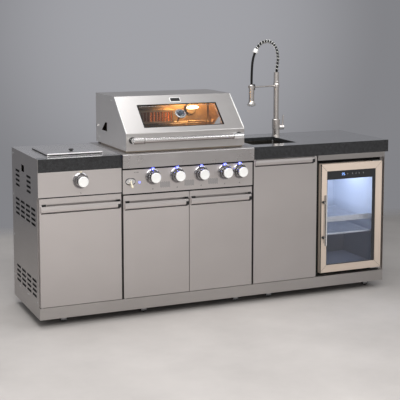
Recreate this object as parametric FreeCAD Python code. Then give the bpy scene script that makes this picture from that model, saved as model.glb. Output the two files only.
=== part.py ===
import FreeCAD, Part
import math
import os

# Outdoor kitchen island in three joined cabinets: a side burner, a grill, and a sink with a fridge.
# It is laid out in a bench frame: X from the left end, Y from the door fronts to the back, Z from the
# floor. The finished pieces are then moved so that the origin is at the bottom centre of the whole.

V = FreeCAD.Vector

# Cabinets
burner_width = 475.0
grill_width = 805.0
sink_width = 905.0
depth = 585.0
worktop_z = 930.0
sheet = 1.5
flange = 16.0
kick_bottom = 50.0
kick_top = 115.0
frame_y = 24.0
floor_sheet = 1.5
caster_height = 72.0
seam = 3.0
service_hole_half = 60.0
service_hole_low = 30.0
service_hole_high = 90.0
hose_hole_y = 330.0
hose_hole_half = 31.0
hose_hole_z = 839.0
hose_hole_rise = 19.0

# Stone tops
stone_edge = 72.5
stone_slab = 20.0
stone_apron = 22.0
stone_strip_depth = 70.0
stone_overhang = 25.0

# Doors
door_thick = 20.0
door_side_gap = 6.0
door_sheet = 1.2
door_floor_gap = 3.0
pivot_in = 10.0
pivot_back = 6.0
bush_half = 7.5
bush_spare = 4.0
pin_radius = 4.0
pin_grip = 14.0
shaft_gap = 0.05
rest_gap = 0.3
lip_strip = 31.0
lip_height = 38.0
lip_mouth = 10.0
lip_reach = 15.0
lip_pocket = 15.0
lip_sheet = 1.6
lip_end_gap = 6.0
lip_cap = 3.0
sink_lip_strip = 1.5
sink_lip_mouth = 1.0
sink_lip_height = 34.0
sink_lip_hinge_gap = 20.0

# Front panels
left_panel_height = 139.0
left_panel_return = 86.0
grill_panel_top = 852.0
grill_panel_height = 148.0
rail_front = 17.0
rail_top = 932.0
rail_height = 77.0

# Controls
knob_radius = 29.0
knob_front = 57.0
knob_skirt = 8.0
knob_flutes = 12
flute_radius = 2.6
bezel_radius = 44.0
bezel_depth = 9.0
knob_pitch = 147.5
knob_z = 798.0
left_knob_z = 803.0
rear_knob_offset = 316.0
stem_radius = 4.0
stem_end = 34.0
switch_offset = 49.0
switch_z = 778.0
switch_tilt = 48.0
lamp_offset = 102.0
lamp_drop = 7.0

# Grill body
hood_width = 727.0
hood_front_y = 38.0
hood_bottom_z = 942.0
hood_band_top = 1040.0
hood_slope_y = 242.0
hood_top_z = 1232.0
hood_rear_y = 578.0
hood_sheet = 1.5
hood_bend = 7.0
hood_pivot_y = 545.0
hood_pivot_z = 1038.0
hood_rear_skirt = 1062.0
port_y = 371.0
port_low = 1020.0
port_high = 1071.0
hood_pin_radius = 6.0
window_width = 485.0
window_low = 40.0
window_high = 204.0
glass_thick = 4.0
glass_lap = 8.0
gauge_along = 129.0
gauge_radius = 33.0
gauge_thick = 11.0
handle_z = 1002.0
handle_reach = 40.0
handle_post_offset = 328.0
handle_radius = 14.0
handle_ferrule = 60.0
handle_washer = 7.0
firebox_side_gap = 6.0
firebox_front_y = 70.0
firebox_rear_y = 556.0
firebox_bottom = 762.0
backbox_top = 1165.0
burner_radius = 14.0
grate_z = 900.0
grate_thick = 8.0
rack_z = 985.0
heater_width = 230.0
heater_bottom = 1036.0
heater_top = 1118.0
heater_depth = 50.0
heater_bars = 9
feed_radius = 4.0
elbow_half = 6.0
drain_hole_radius = 30.0

# Side burner
lid_width = 315.0
lid_front = 95.0
lid_depth = 330.0
lid_thick = 14.0
lid_sheet = 2.0
well_inset = 20.0
well_depth = 55.0
lid_pin_radius = 2.5
lid_hinge_inset = 40.0
lid_hinge_back = 8.0
lid_hinge_up = 7.0
pan_hub = 24.0

# Sink and tap
bowl_left = 49.0
bowl_width = 298.0
bowl_front = 105.0
bowl_length = 315.0
bowl_depth = 150.0
bowl_sheet = 1.2
bowl_corner = 6.0
bowl_rim = 14.0
drain_radius = 45.0
tap_x = 385.0
tap_behind_bowl = 30.0
tap_hole_radius = 17.5
tap_base_top = 1038.0
tap_bore_radius = 9.0
lever_up = 56.0
lever_out = 40.0
lever_boss_radius = 17.0
lever_pin_radius = 5.0
lever_length = 62.0
column_radius = 15.0
column_top = 1335.0
arm_z = 1249.0
arm_turn = 15.0
tap_reach = 208.0
hose_radius = 7.25
wire_radius = 2.3
coil_radius = 12.4
coil_turns = 18
ferrule_length = 18.0
head_radius = 16.5
head_top = 1264.0
head_bottom = 1133.0
nozzle_radius = 28.0

# Fridge
fridge_bay_wall = 427.0
fridge_door_width = 433.0
fridge_right_gap = 17.0
fridge_door_bottom = 136.0
fridge_door_top = 802.0
fridge_door_thick = 40.0
fridge_stile = 44.0
fridge_pivot_in = 8.0
fridge_pivot_back = 12.0
fridge_seal = 5.0
fridge_case_top = 818.0
fridge_wall = 38.0
fridge_back_y = 560.0
shelf_heights = (437.0, 357.0)
shelf_thick = 5.0
shelf_rail = 32.0
fridge_handle_low = 312.0
fridge_handle_high = 620.0
fridge_handle_reach = 44.0
fridge_rail_height = 31.0

# Casters
wheel_radius = 25.0
wheel_width = 20.0
axle_radius = 4.0
trail = 24.0
caster_inset_left = 135.0
caster_inset_right = 86.0
caster_inset_y = 105.0
caster_plate = 60.0
plate_thick = 3.0
king_radius = 5.0
king_head_radius = 8.0
king_head_low = 59.5
king_head_high = 61.7
fork_web_z = 62.0
fork_sheet = 2.5

# Side panel vents
slot_length = 80.0
slot_height = 9.0
slot_pitch = 27.5
slot_rows = 4
vent_columns = (107.0, 225.0, 343.0, 461.0)
low_vent_z = 207.0
high_vent_z = 602.0
burner_vent_columns = (200.0, 453.0)
burner_vent_z = 768.0

# Places worked out from the sizes above
grill_x0 = burner_width
sink_x0 = burner_width + grill_width
right_end = sink_x0 + sink_width
grill_mid = grill_x0 + grill_width / 2
burner_mid = burner_width / 2
stone_bottom = worktop_z - stone_edge
slab_bottom = worktop_z - stone_slab
hood_x0 = grill_mid - hood_width / 2
hood_x1 = grill_mid + hood_width / 2
bay_x0 = sink_x0 + fridge_bay_wall
bay_x1 = right_end - sheet
fridge_x1 = right_end - fridge_right_gap
fridge_x0 = fridge_x1 - fridge_door_width
tap_y = bowl_front + bowl_length + tap_behind_bowl
tap_centre = V(sink_x0 + tap_x, tap_y, 0)
door_z0 = kick_top + door_floor_gap
left_panel_bottom = stone_bottom - left_panel_height
left_door_top = left_panel_bottom - seam
grill_panel_bottom = grill_panel_top - grill_panel_height
grill_door_top = grill_panel_bottom - seam
sink_door_top = stone_bottom - seam
lid_pivot_y = lid_front + lid_depth + lid_hinge_back
lid_pivot_z = worktop_z + lid_hinge_up
fridge_pivot_x = fridge_x1 - fridge_pivot_in
fridge_pivot_y = fridge_pivot_back
knob_places = [(burner_mid, left_knob_z)]
for step in (-1.5, -0.5, 0.5, 1.5):
    knob_places.append((grill_mid + step * knob_pitch, knob_z))
knob_places.append((grill_mid + rear_knob_offset, knob_z))


# Simple solids

def block(x0, x1, y0, y1, z0, z1):
    return Part.makeBox(x1 - x0, y1 - y0, z1 - z0, V(x0, y0, z0))


def rod(start, end, radius):
    run = end - start
    return Part.makeCylinder(radius, run.Length, start, run)


def tube(start, end, outer, inner):
    return rod(start, end, outer).cut(rod(start, end, inner))


def turned(profile, centre, axis, across):
    # A solid of revolution: each profile point is (distance along the axis, radius).
    points = [centre + axis * along + across * radius for along, radius in profile]
    face = Part.Face(Part.makePolygon(points + points[:1]))
    return face.revolve(centre, axis, 360)


def prism(points, run):
    return Part.Face(Part.makePolygon(points + points[:1])).extrude(run)


def in_yz(x):
    return lambda a, b: V(x, a, b)


def in_xz(y):
    return lambda a, b: V(a, y, b)


def joined(first, *others):
    return first.fuse(list(others)).removeSplitter()


def upright_edges(shape):
    return [e for e in shape.Edges if abs(e.tangentAt(0).z) > 0.9]


def ribbon(points, thick, bend, place, run):
    # Folded sheet: a path of straight runs with rounded bends, given its thickness and length.
    flat = [V(a, b, 0) for a, b in points]
    ways = [(q - p).normalize() for p, q in zip(flat, flat[1:])]
    left = [V(-w.y, w.x, 0) for w in ways]
    rails = []
    for side in (1, -1):
        half = side * thick / 2
        items = [flat[0] + left[0] * half]
        for k in range(1, len(ways)):
            turn = math.atan2(ways[k - 1].cross(ways[k]).z, ways[k - 1].dot(ways[k]))
            hand = 1 if turn > 0 else -1
            back = bend * math.tan(abs(turn) / 2)
            centre = flat[k] - ways[k - 1] * back + left[k - 1] * (hand * bend)
            radius = bend - hand * half
            middle = (left[k - 1] + left[k]).normalize()
            for spoke in (left[k - 1], middle, left[k]):
                items.append(centre - spoke * (hand * radius))
        items.append(flat[-1] + left[-1] * half)
        rails.append(items)
    edges = []
    for items in rails:
        spots = [place(p.x, p.y) for p in items]
        edges.append(Part.LineSegment(spots[0], spots[1]).toShape())
        for k in range(1, len(spots) - 1, 3):
            edges.append(Part.Arc(spots[k], spots[k + 1], spots[k + 2]).toShape())
            edges.append(Part.LineSegment(spots[k + 2], spots[k + 3]).toShape())
    for end in (0, -1):
        edges.append(Part.LineSegment(place(rails[0][end].x, rails[0][end].y),
                                      place(rails[1][end].x, rails[1][end].y)).toShape())
    wire = Part.Wire(Part.__sortEdges__(edges))
    return Part.Face(wire).extrude(run)


def route_edges(points):
    # Straight runs joined by tangent arcs, each arc as large as its two runs allow.
    edges = []
    radii = []
    last = points[0]
    for before_point, corner, after_point in zip(points, points[1:], points[2:]):
        before = before_point - corner
        after = after_point - corner
        half_turn = (math.pi - before.getAngle(after)) / 2
        back = 0.45 * min(before.Length, after.Length)
        radius = back / math.tan(half_turn)
        before.normalize()
        after.normalize()
        start = corner + before * back
        end = corner + after * back
        inward = (before + after).normalize()
        middle = corner + inward * (radius / math.cos(half_turn) - radius)
        edges.append(Part.LineSegment(last, start).toShape())
        edges.append(Part.Arc(start, middle, end).toShape())
        radii.append(radius)
        last = end
    edges.append(Part.LineSegment(last, points[-1]).toShape())
    return edges, radii


def pipe(edges, radius):
    wire = Part.Wire(edges)
    start = edges[0].valueAt(edges[0].FirstParameter)
    way = edges[0].tangentAt(edges[0].FirstParameter)
    ring = Part.Wire(Part.makeCircle(radius, start, way))
    return wire.makePipeShell([ring], True, False)


def slotted_plate(x0, x1, y0, y1, z, thick, border, bars, bar_width):
    # A wire shelf or grate: one plate with long gaps between its bars.
    outline = Part.makePolygon([V(x0, y0, z), V(x1, y0, z), V(x1, y1, z), V(x0, y1, z), V(x0, y0, z)])
    wires = [outline]
    pitch = (x1 - x0 - bar_width) / bars
    for k in range(bars):
        a = x0 + bar_width + k * pitch
        b = a + pitch - bar_width
        wires.append(Part.makePolygon([V(a, y0 + border, z), V(a, y1 - border, z), V(b, y1 - border, z),
                                       V(b, y0 + border, z), V(a, y0 + border, z)]))
    return Part.Face(wires).extrude(V(0, 0, thick))


# Cabinets

def vent_cuts(x, columns, middle_z):
    first = middle_z - (slot_rows - 1) * slot_pitch / 2
    cuts = []
    for y in columns:
        for row in range(slot_rows):
            z = first + row * slot_pitch
            cuts.append(block(x - sheet, x + 2 * sheet, y - slot_length / 2, y + slot_length / 2,
                              z - slot_height / 2, z + slot_height / 2))
    return cuts


def side_panel(x, inward, top, outer):
    # A flat side with a folded front edge. An outer side is pierced with vents.
    edge = x if inward > 0 else x - sheet
    panel = block(edge, edge + sheet, frame_y, depth, kick_bottom, top)
    tip = x + inward * flange
    fold = block(min(x, tip), max(x, tip), frame_y, frame_y + sheet, kick_top, top)
    if outer:
        for middle_z in (low_vent_z, high_vent_z):
            panel = panel.cut(vent_cuts(edge, vent_columns, middle_z))
    return panel.fuse(fold).removeSplitter()


def caster_spots(x0, x1, whole):
    spots = []
    for y in (caster_inset_y, depth - caster_inset_y):
        spots.append(V(x0 + caster_inset_left, y, 0))
        if whole:
            spots.append(V(x1 - caster_inset_right, y, 0))
    return spots


def carcass(x0, x1, top, sides, whole):
    # Floor, back, kick plate, sides and the two channels that carry the casters.
    inner0 = x0 + sheet
    inner1 = x1 - sheet
    solids = [side_panel(x0, 1, top, sides[0]), side_panel(x1, -1, top, sides[1])]
    solids.append(block(inner0, inner1, frame_y + sheet, depth - sheet, kick_top - floor_sheet, kick_top))
    middle_x = (x0 + x1) / 2
    hole = block(middle_x - service_hole_half, middle_x + service_hole_half, depth - 2 * sheet, depth + sheet,
                 kick_top + service_hole_low, kick_top + service_hole_high)
    back = block(inner0, inner1, depth - sheet, depth, kick_bottom, top)
    solids.append(back.cut(hole))
    kick = block(x0, x1, 0, frame_y, kick_bottom, kick_top)
    hollow = block(x0 + sheet, x1 - sheet, sheet, frame_y + sheet, kick_bottom - sheet, kick_top - sheet)
    solids.append(kick.cut(hollow))
    for y in (caster_inset_y, depth - caster_inset_y):
        half = caster_plate / 2 + 2
        channel = block(inner0, inner1, y - half, y + half, caster_height, kick_top - floor_sheet)
        inside = block(inner0, inner1, y - half + sheet, y + half - sheet, caster_height - 1,
                       kick_top - floor_sheet - sheet)
        solids.append(channel.cut(inside))
    for spot in caster_spots(x0, x1, whole):
        half = caster_plate / 2
        plate = block(spot.x - half, spot.x + half, spot.y - half, spot.y + half,
                      caster_height - plate_thick, caster_height)
        king = rod(spot + V(0, 0, king_head_high), spot + V(0, 0, caster_height - plate_thick), king_radius)
        head = rod(spot + V(0, 0, king_head_low), spot + V(0, 0, king_head_high), king_head_radius)
        solids.append(plate.fuse([king, head]).removeSplitter())
    return solids


def left_cabinet():
    solids = carcass(0, burner_width, worktop_z - sheet, (True, False), False)
    # The outer side comes forward beside the stone strip and behind the wrapped front panel.
    side = solids[0]
    step = block(0, sheet, 0, stone_strip_depth, stone_bottom, worktop_z)
    return_cut = block(-sheet, sheet, 0, left_panel_return, left_panel_bottom, stone_bottom)
    fold_cut = block(-sheet, flange + sheet, 0, stone_strip_depth, left_panel_bottom, worktop_z)
    burner_vents = vent_cuts(0, burner_vent_columns, burner_vent_z)
    hose_hole = block(-sheet, 2 * sheet, hose_hole_y - hose_hole_half, hose_hole_y + hose_hole_half,
                      hose_hole_z - hose_hole_rise, hose_hole_z + hose_hole_rise)
    shelf_edge = block(0, sheet, frame_y, left_panel_return, stone_bottom, worktop_z - sheet)
    side = joined(side.cut([fold_cut, return_cut, hose_hole] + burner_vents), step, shelf_edge)
    stone_cut = block(burner_width - 2 * flange, burner_width, 0, stone_strip_depth, stone_bottom, worktop_z)
    return [side, solids[1].cut(stone_cut)] + solids[2:]


def grill_cabinet():
    return carcass(grill_x0, sink_x0, rail_top - sheet, (False, False), True)


def sink_cabinet():
    solids = carcass(sink_x0, right_end, slab_bottom, (False, True), True)
    notch = block(sink_x0 + sheet, right_end - sheet, 0, frame_y + 2 * sheet,
                  stone_bottom - flange, slab_bottom + 1)
    sides = [solids[0].cut(notch), solids[1].cut(notch)]
    wall = block(bay_x0, bay_x0 + sheet, frame_y, depth - sheet, kick_top, slab_bottom)
    wall_fold = block(bay_x0, bay_x0 + flange / 2, frame_y, frame_y + sheet, kick_top, slab_bottom)
    wall = wall.fuse(wall_fold).cut(notch).removeSplitter()
    # A folded rail under the stone holds the top hinge pins.
    rail = block(sink_x0 + sheet, bay_x0, 2, frame_y + sheet, stone_bottom - sheet, stone_bottom)
    drop = block(sink_x0 + sheet, bay_x0, frame_y, frame_y + sheet, stone_bottom - flange, stone_bottom)
    rail = joined(rail, drop)
    fascia_low = stone_bottom - fridge_rail_height
    fascia = block(bay_x0 + flange / 2, right_end, 0, frame_y, fascia_low, stone_bottom)
    hollow = block(bay_x0 + flange / 2 + sheet, right_end - sheet, sheet, frame_y + 1,
                   fascia_low + sheet, stone_bottom - sheet)
    corner = block(right_end - sheet, right_end, 0, frame_y, kick_top, fascia_low)
    return sides + solids[2:] + [wall, rail, fascia.cut(hollow), corner]


# Stone tops

def granite_tops():
    # The slab is jointed at the bowl's sides. Its deep edge is two strips glued under it, along the front and
    # down the right end.
    strip = block(sheet, burner_width - rest_gap, 0, stone_strip_depth, stone_bottom, worktop_z)
    near = sink_x0 + rest_gap
    far = right_end + stone_overhang
    x0 = sink_x0 + bowl_left
    x1 = x0 + bowl_width
    y0 = bowl_front
    y1 = bowl_front + bowl_length
    cutout = block(x0, x1, y0, y1, stone_bottom, worktop_z + 1)
    cutout = cutout.makeFillet(bowl_corner, upright_edges(cutout))
    hole = rod(tap_centre + V(0, 0, stone_bottom), tap_centre + V(0, 0, worktop_z + 1), tap_hole_radius)
    slab = [block(near, x0, 0, depth, slab_bottom, worktop_z),
            block(x1, far, 0, depth, slab_bottom, worktop_z).cut(hole),
            block(x0, x1, 0, y0 + bowl_corner, slab_bottom, worktop_z).cut(cutout),
            block(x0, x1, y1 - bowl_corner, depth, slab_bottom, worktop_z).cut(cutout)]
    front = block(near, far, 0, stone_apron, stone_bottom, slab_bottom)
    side = block(right_end + rest_gap, far, stone_apron, depth, stone_bottom, slab_bottom)
    return [strip, front, side] + slab


# Doors

def lip_rail(x0, x1, low, mouth_top, height):
    # The folded pull: a pocket behind the door face and a rounded lip that stands in front of it.
    mid = lip_sheet / 2
    path = [(door_sheet, mouth_top - mid), (lip_pocket, mouth_top - mid), (lip_pocket, low + 6),
            (mid, low + mid), (-lip_reach + 3, low + 7), (-lip_reach + mid, low + 20),
            (-lip_reach + 2.5, low + height)]
    return ribbon(path, lip_sheet, 3.4, in_yz(x0), V(x1 - x0, 0, 0))


def lip_end(x0, low, mouth_top, height):
    back = lip_pocket + lip_sheet / 2
    profile = [(0, mouth_top), (back, mouth_top), (back, low + 4), (2, low), (-lip_reach + 4, low + 3),
               (-lip_reach, low + 14), (-lip_reach + 1.6, low + height)]
    return prism([V(x0, y, z) for y, z in profile], V(lip_cap, 0, 0))


def door(x0, x1, top, hinge_left, strip=lip_strip, mouth=lip_mouth, height=lip_height, hinge_gap=lip_end_gap):
    # A folded pan up to the pull rail, a folded head over it, a liner behind both, the rail with an end cap
    # and a cheek at each side, and a hinge bush at the bottom and the top.
    s = door_sheet
    back = door_thick - s
    mouth_top = top - strip
    low = mouth_top - mouth - height
    slot_x0 = x0 + (hinge_gap if hinge_left else lip_end_gap)
    slot_x1 = x1 - (lip_end_gap if hinge_left else hinge_gap)
    pivot_x = x0 + pivot_in if hinge_left else x1 - pivot_in
    grip = pin_grip + bush_spare
    bores = []
    for z0, z1 in ((door_z0 - 1, door_z0 + grip), (top - grip, top + 1)):
        bores.append(rod(V(pivot_x, pivot_back, z0), V(pivot_x, pivot_back, z1), pin_radius + shaft_gap))
    liner = block(x0 + s, x1 - s, back, door_thick, door_z0 + s, top - s)
    pan = block(x0, x1, 0, door_thick, door_z0, low)
    pan = pan.cut([block(x0 + s, x1 - s, s, back, door_z0 + s, low - s), liner, bores[0]])
    head = block(x0, x1, 0, door_thick, mouth_top, top)
    head = head.cut([block(x0 + s, x1 - s, s, back, mouth_top - 1, top - s), liner, bores[1]])
    rail = lip_rail(slot_x0 + lip_cap, slot_x1 - lip_cap, low, mouth_top, height)
    caps = [lip_end(x, low, mouth_top, height) for x in (slot_x0, slot_x1 - lip_cap)]
    cheeks = [block(x0, slot_x0, 0, back, low, mouth_top), block(slot_x1, x1, 0, back, low, mouth_top)]
    low_bush, top_bush = [block(pivot_x - bush_half, pivot_x + bush_half, s, back, z0, z1)
                          for z0, z1 in ((door_z0 + s, door_z0 + grip), (top - grip, top - s))]
    hinge_cheek = cheeks.pop(0 if hinge_left else 1)
    hinge_parts = hinge_cheek.fuse(top_bush).removeSplitter().cut(bores[1])
    return [pan, liner, rail, head, low_bush.cut(bores[0]), hinge_parts] + caps + cheeks


def left_door():
    return door(door_side_gap, burner_width - door_side_gap, left_door_top, True)


def grill_door_left():
    return door(grill_x0 + door_side_gap, grill_mid - seam / 2, grill_door_top, True)


def grill_door_right():
    return door(grill_mid + seam / 2, sink_x0 - door_side_gap, grill_door_top, False)


def sink_door():
    return door(sink_x0 + door_side_gap, bay_x0, sink_door_top, False, sink_lip_strip, sink_lip_mouth,
                sink_lip_height, sink_lip_hinge_gap)


# Front panels and controls

def control_panels():
    left = block(0, burner_width - seam / 2, 0, frame_y, left_panel_bottom, stone_bottom)
    left = left.cut(block(sheet, burner_width - seam / 2 - sheet, sheet, frame_y + 1,
                          left_panel_bottom + sheet, stone_bottom - sheet))
    wrap = block(0, sheet, 0, left_panel_return, left_panel_bottom, stone_bottom)
    left = left.fuse(wrap).removeSplitter()
    x0 = grill_x0 + seam / 2
    x1 = sink_x0 - seam / 2
    right = block(x0, x1, 0, frame_y, grill_panel_bottom, grill_panel_top)
    right = right.cut(block(x0 + sheet, x1 - sheet, sheet, frame_y + 1,
                            grill_panel_bottom + sheet, grill_panel_top - sheet))
    holes = [rod(V(x, -1, z), V(x, sheet + 1, z), stem_radius + 3) for x, z in knob_places]
    return [left.cut(holes), right.cut(holes)]


def control_bezels():
    # Stepped rings round the knobs, a lamp window over each, and the light switch plate.
    solids = []
    profile = [(0, knob_radius + 3), (0, bezel_radius), (3, bezel_radius), (5, bezel_radius - 4),
               (bezel_depth, bezel_radius - 7), (bezel_depth, knob_radius + 5), (4, knob_radius + 3)]
    for x, z in knob_places:
        ring = turned(profile, V(x, 0, z), V(0, -1, 0), V(0, 0, 1))
        solids.append(ring)
        solids.append(block(x - 7, x + 7, -6, 0, z + bezel_radius + rest_gap, z + bezel_radius + 7))
    x = grill_x0 + switch_offset
    oval = Part.Ellipse(V(x, 0, switch_z), 27, 16)
    oval.Axis = V(0, -1, 0)
    plate = Part.Face(Part.Wire(oval.toShape())).extrude(V(0, -4, 0))
    for side in (-1, 1):
        ear_x = x + side * 5.4
        ear = block(min(ear_x, ear_x + side * 3), max(ear_x, ear_x + side * 3), -14, -4,
                    switch_z - 7, switch_z + 7)
        plate = plate.fuse(ear)
    pin = rod(V(x - 8, -9, switch_z), V(x + 8, -9, switch_z), 1.5)
    solids.append(plate.fuse(pin).removeSplitter())
    lamp_place = V(grill_x0 + lamp_offset, 0, switch_z - lamp_drop)
    lamp = rod(lamp_place - V(0, 3, 0), lamp_place, 6)
    solids.append(lamp)
    return solids


def light_switch():
    x = grill_x0 + switch_offset
    pivot = V(x, -9, switch_z)
    hub = rod(pivot - V(5, 0, 0), pivot + V(5, 0, 0), 4.6)
    tilt = math.radians(switch_tilt)
    way = V(0, -math.cos(tilt), -math.sin(tilt))
    arm = Part.makeCone(3.4, 4.4, 24, pivot, way)
    tip = rod(pivot + way * 22, pivot + way * 36, 6.5)
    nose = Part.makeSphere(6.5, pivot + way * 36)
    bore = rod(pivot - V(6, 0, 0), pivot + V(6, 0, 0), 1.5 + shaft_gap)
    return [hub.fuse([arm, tip, nose]).cut(bore).removeSplitter()]


def knob(number):
    x, z = knob_places[number]
    out = V(0, -1, 0)
    centre = V(x, 0, z)
    r = knob_radius
    grip = [(knob_skirt, 0), (knob_skirt, r), (knob_skirt + 5, r), (knob_skirt + 7, r - 2.5),
            (knob_front - 13, r - 1.5), (knob_front - 11, r), (knob_front - 3, r), (knob_front, r - 3),
            (knob_front, r - 6), (knob_front - 1.2, r - 7), (knob_front - 1.2, 0)]
    body = turned(grip, centre, out, V(0, 0, 1))
    cuts = []
    for k in range(knob_flutes):
        angle = 2 * math.pi * (k + 0.5) / knob_flutes
        spoke = V(math.cos(angle), 0, math.sin(angle)) * (r - 0.8)
        begin = centre + spoke + out * (knob_skirt + 6)
        cuts.append(rod(begin, centre + spoke + out * (knob_front - 12), flute_radius))
    pointer = block(x - 1.2, x + 1.2, -knob_front, -knob_front + 1.6, z + r * 0.3, z + r - 6.6)
    body = body.cut(cuts).fuse(pointer).removeSplitter()
    stem = rod(V(x, -knob_skirt, z), V(x, stem_end, z), stem_radius)
    return [body, stem]


# Grill

def firebox():
    x0 = hood_x0 + firebox_side_gap
    x1 = hood_x1 - firebox_side_gap
    y0 = firebox_front_y
    y1 = firebox_rear_y
    low = firebox_bottom
    t = sheet
    front = block(x0, x1, y0, y0 + t, low, rail_top - t)
    holes = [rod(V(x, y0 - 1, z), V(x, y0 + t + 1, z), burner_radius) for x, z in knob_places[1:5]]
    solids = [front.cut(holes)]
    solids.append(block(x0, x1, y1 - t, y1, low, backbox_top))
    for x in (x0, x1 - t):
        ear = prism([V(x, y0 + t, low), V(x, y1 - t, low), V(x, y1 - t, hood_pivot_z + 24),
                     V(x, hood_pivot_y - 26, hood_pivot_z + 24), V(x, hood_pivot_y - 40, rail_top),
                     V(x, y0 + t, rail_top)], V(t, 0, 0))
        pin_hole = rod(V(x - 1, hood_pivot_y, hood_pivot_z), V(x + t + 1, hood_pivot_y, hood_pivot_z),
                       hood_pin_radius + shaft_gap)
        solids.append(ear.cut(pin_hole))
    floor = block(x0 + t, x1 - t, y0 + t, y1 - t, low, low + t)
    drain = V(grill_mid, (y0 + y1) / 2, low)
    solids.append(floor.cut(rod(drain - V(0, 0, 1), drain + V(0, 0, t + 1), drain_hole_radius)))
    # Worktop strips round the firebox and the front rail that hangs from them.
    mid = -rail_front + t / 2
    rail_path = [(mid, rail_top - rail_height), (mid, rail_top - t / 2), (y0, rail_top - t / 2)]
    solids.append(ribbon(rail_path, t, 4, in_yz(grill_x0 + rest_gap), V(grill_width - 2 * rest_gap, 0, 0)))
    solids.append(block(grill_x0, x0 - rest_gap, y0, depth, rail_top - t, rail_top))
    solids.append(block(x1 + rest_gap, sink_x0, y0, depth, rail_top - t, rail_top))
    feed_x = knob_places[-1][0]
    rear_strip = block(x0 - rest_gap, x1 + rest_gap, y1, depth, rail_top - t, rail_top)
    feed_hole = block(feed_x - 9, feed_x + 9, y1 - 1, y1 + 14, rail_top - 2 * t, rail_top + 1)
    solids.append(rear_strip.cut(feed_hole))
    # Ledges that the cooking grates rest on.
    for y in (y0 + t, y1 - t - 10):
        solids.append(block(x0 + t, x1 - t, y, y + 10, grate_z - 4, grate_z))
    return solids


def pipe_run(points, radius):
    # Straight pipes that meet in square elbows. The last point is an elbow too.
    solids = []
    for k, corner in enumerate(points[1:]):
        start = points[k]
        way = (corner - start).normalize()
        begin = start + way * (elbow_half if k else 0)
        solids.append(rod(begin, corner - way * elbow_half, radius))
        e = elbow_half
        solids.append(block(corner.x - e, corner.x + e, corner.y - e, corner.y + e,
                            corner.z - e, corner.z + e))
    return solids


def gas_train():
    # One valve behind each knob, the pipe that feeds them, and the tube burners with their flame covers.
    t = sheet
    valve_end = 42.0
    pipe_z = knob_z - 24
    burner_y = lid_front + lid_depth / 2
    manifold = rod(V(grill_x0 + 30, 26, pipe_z), V(sink_x0 - 40, 26, pipe_z), 9)
    valves = []
    for x, z in knob_places:
        valve = block(x - 12, x + 12, t, valve_end, z - 28, z + 12)
        valves.append(valve.cut(rod(V(x, t - 1, z), V(x, stem_end + 4, z), stem_radius + shaft_gap)))
    x, z = knob_places[0]
    solids = [valves[0], joined(manifold, *valves[1:])]
    solids += pipe_run([V(x, valve_end, z), V(x, burner_y, z)], feed_radius)
    riser_top = worktop_z - well_depth - t
    solids.append(rod(V(x, burner_y, z + elbow_half), V(x, burner_y, riser_top), feed_radius))
    # The rear burner's pipe goes under the firebox and up behind it.
    x, z = knob_places[-1]
    turn_y = valve_end + elbow_half + feed_radius * 2
    under = firebox_bottom - elbow_half * 2
    behind = firebox_rear_y + elbow_half
    heater_z = (heater_bottom + heater_top) / 2
    heater_x = grill_mid + heater_width / 2 - elbow_half * 5
    solids += pipe_run([V(x, valve_end, z), V(x, turn_y, z), V(x, turn_y, under), V(x, behind, under),
                        V(x, behind, heater_z), V(heater_x, behind, heater_z)], feed_radius)
    for x, z in knob_places[1:5]:
        neck = rod(V(x, valve_end, z), V(x, firebox_front_y - 8, z), 8)
        burner = rod(V(x, firebox_front_y - 8, z), V(x, firebox_rear_y - t, z), burner_radius - rest_gap)
        solids.append(joined(neck, burner))
        cover = [(x - 45, z + 28), (x, z + 52), (x + 45, z + 28)]
        run = V(0, firebox_rear_y - firebox_front_y - 2 * t, 0)
        solids.append(ribbon(cover, 1.5, 3, in_xz(firebox_front_y + t), run))
    return solids


def cooking_grates():
    t = sheet
    x0 = hood_x0 + firebox_side_gap + t + 1
    x1 = hood_x1 - firebox_side_gap - t - 1
    y0 = firebox_front_y + t + 1
    y1 = firebox_rear_y - t - 1
    middle = (x0 + x1) / 2
    solids = [slotted_plate(x0, middle - 1, y0, y1, grate_z, grate_thick, 9, 17, 7),
              slotted_plate(middle + 1, x1, y0, y1, grate_z, grate_thick, 9, 17, 7)]
    rack = slotted_plate(x0 + 1.5, x1 - 1.5, y1 - 150, y1 - 56, rack_z, 4, 5, 22, 4)
    legs = []
    for x in (x0 + 1.5, x1 - 5.5):
        for y in (y1 - 150, y1 - 60):
            legs.append(block(x, x + 4, y, y + 4, grate_z + grate_thick, rack_z))
    solids.append(rack.fuse(legs).removeSplitter())
    return solids


def rear_burner():
    # An upright radiant burner on the back plate, with guard bars, and a lamp to its right.
    back = firebox_rear_y - sheet
    face = back - heater_depth
    x0 = grill_mid - heater_width / 2
    x1 = grill_mid + heater_width / 2
    case = block(x0, x1, face, back, heater_bottom, heater_top)
    recess = block(x0 + 14, x1 - 14, face - 1, face + 12, heater_bottom + 12, heater_top - 12)
    case = case.cut(recess)
    pitch = (heater_width - 28) / heater_bars
    for k in range(heater_bars):
        x = x0 + 14 + (k + 0.5) * pitch
        case = case.fuse(block(x - 2, x + 2, face, face + 4, heater_bottom + 12, heater_top - 12))
    lamp_x = grill_mid + 238
    lamp = turned([(0, 0), (0, 40), (18, 40), (24, 34), (24, 0)], V(lamp_x, back, heater_top),
                  V(0, -1, 0), V(0, 0, 1))
    return [case.removeSplitter(), lamp]


def slope_frame():
    low = V(0, hood_front_y, hood_band_top)
    high = V(0, hood_slope_y, hood_top_z)
    along = (high - low).normalize()
    out = V(0, -along.z, along.y)
    return low, along, out


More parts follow.
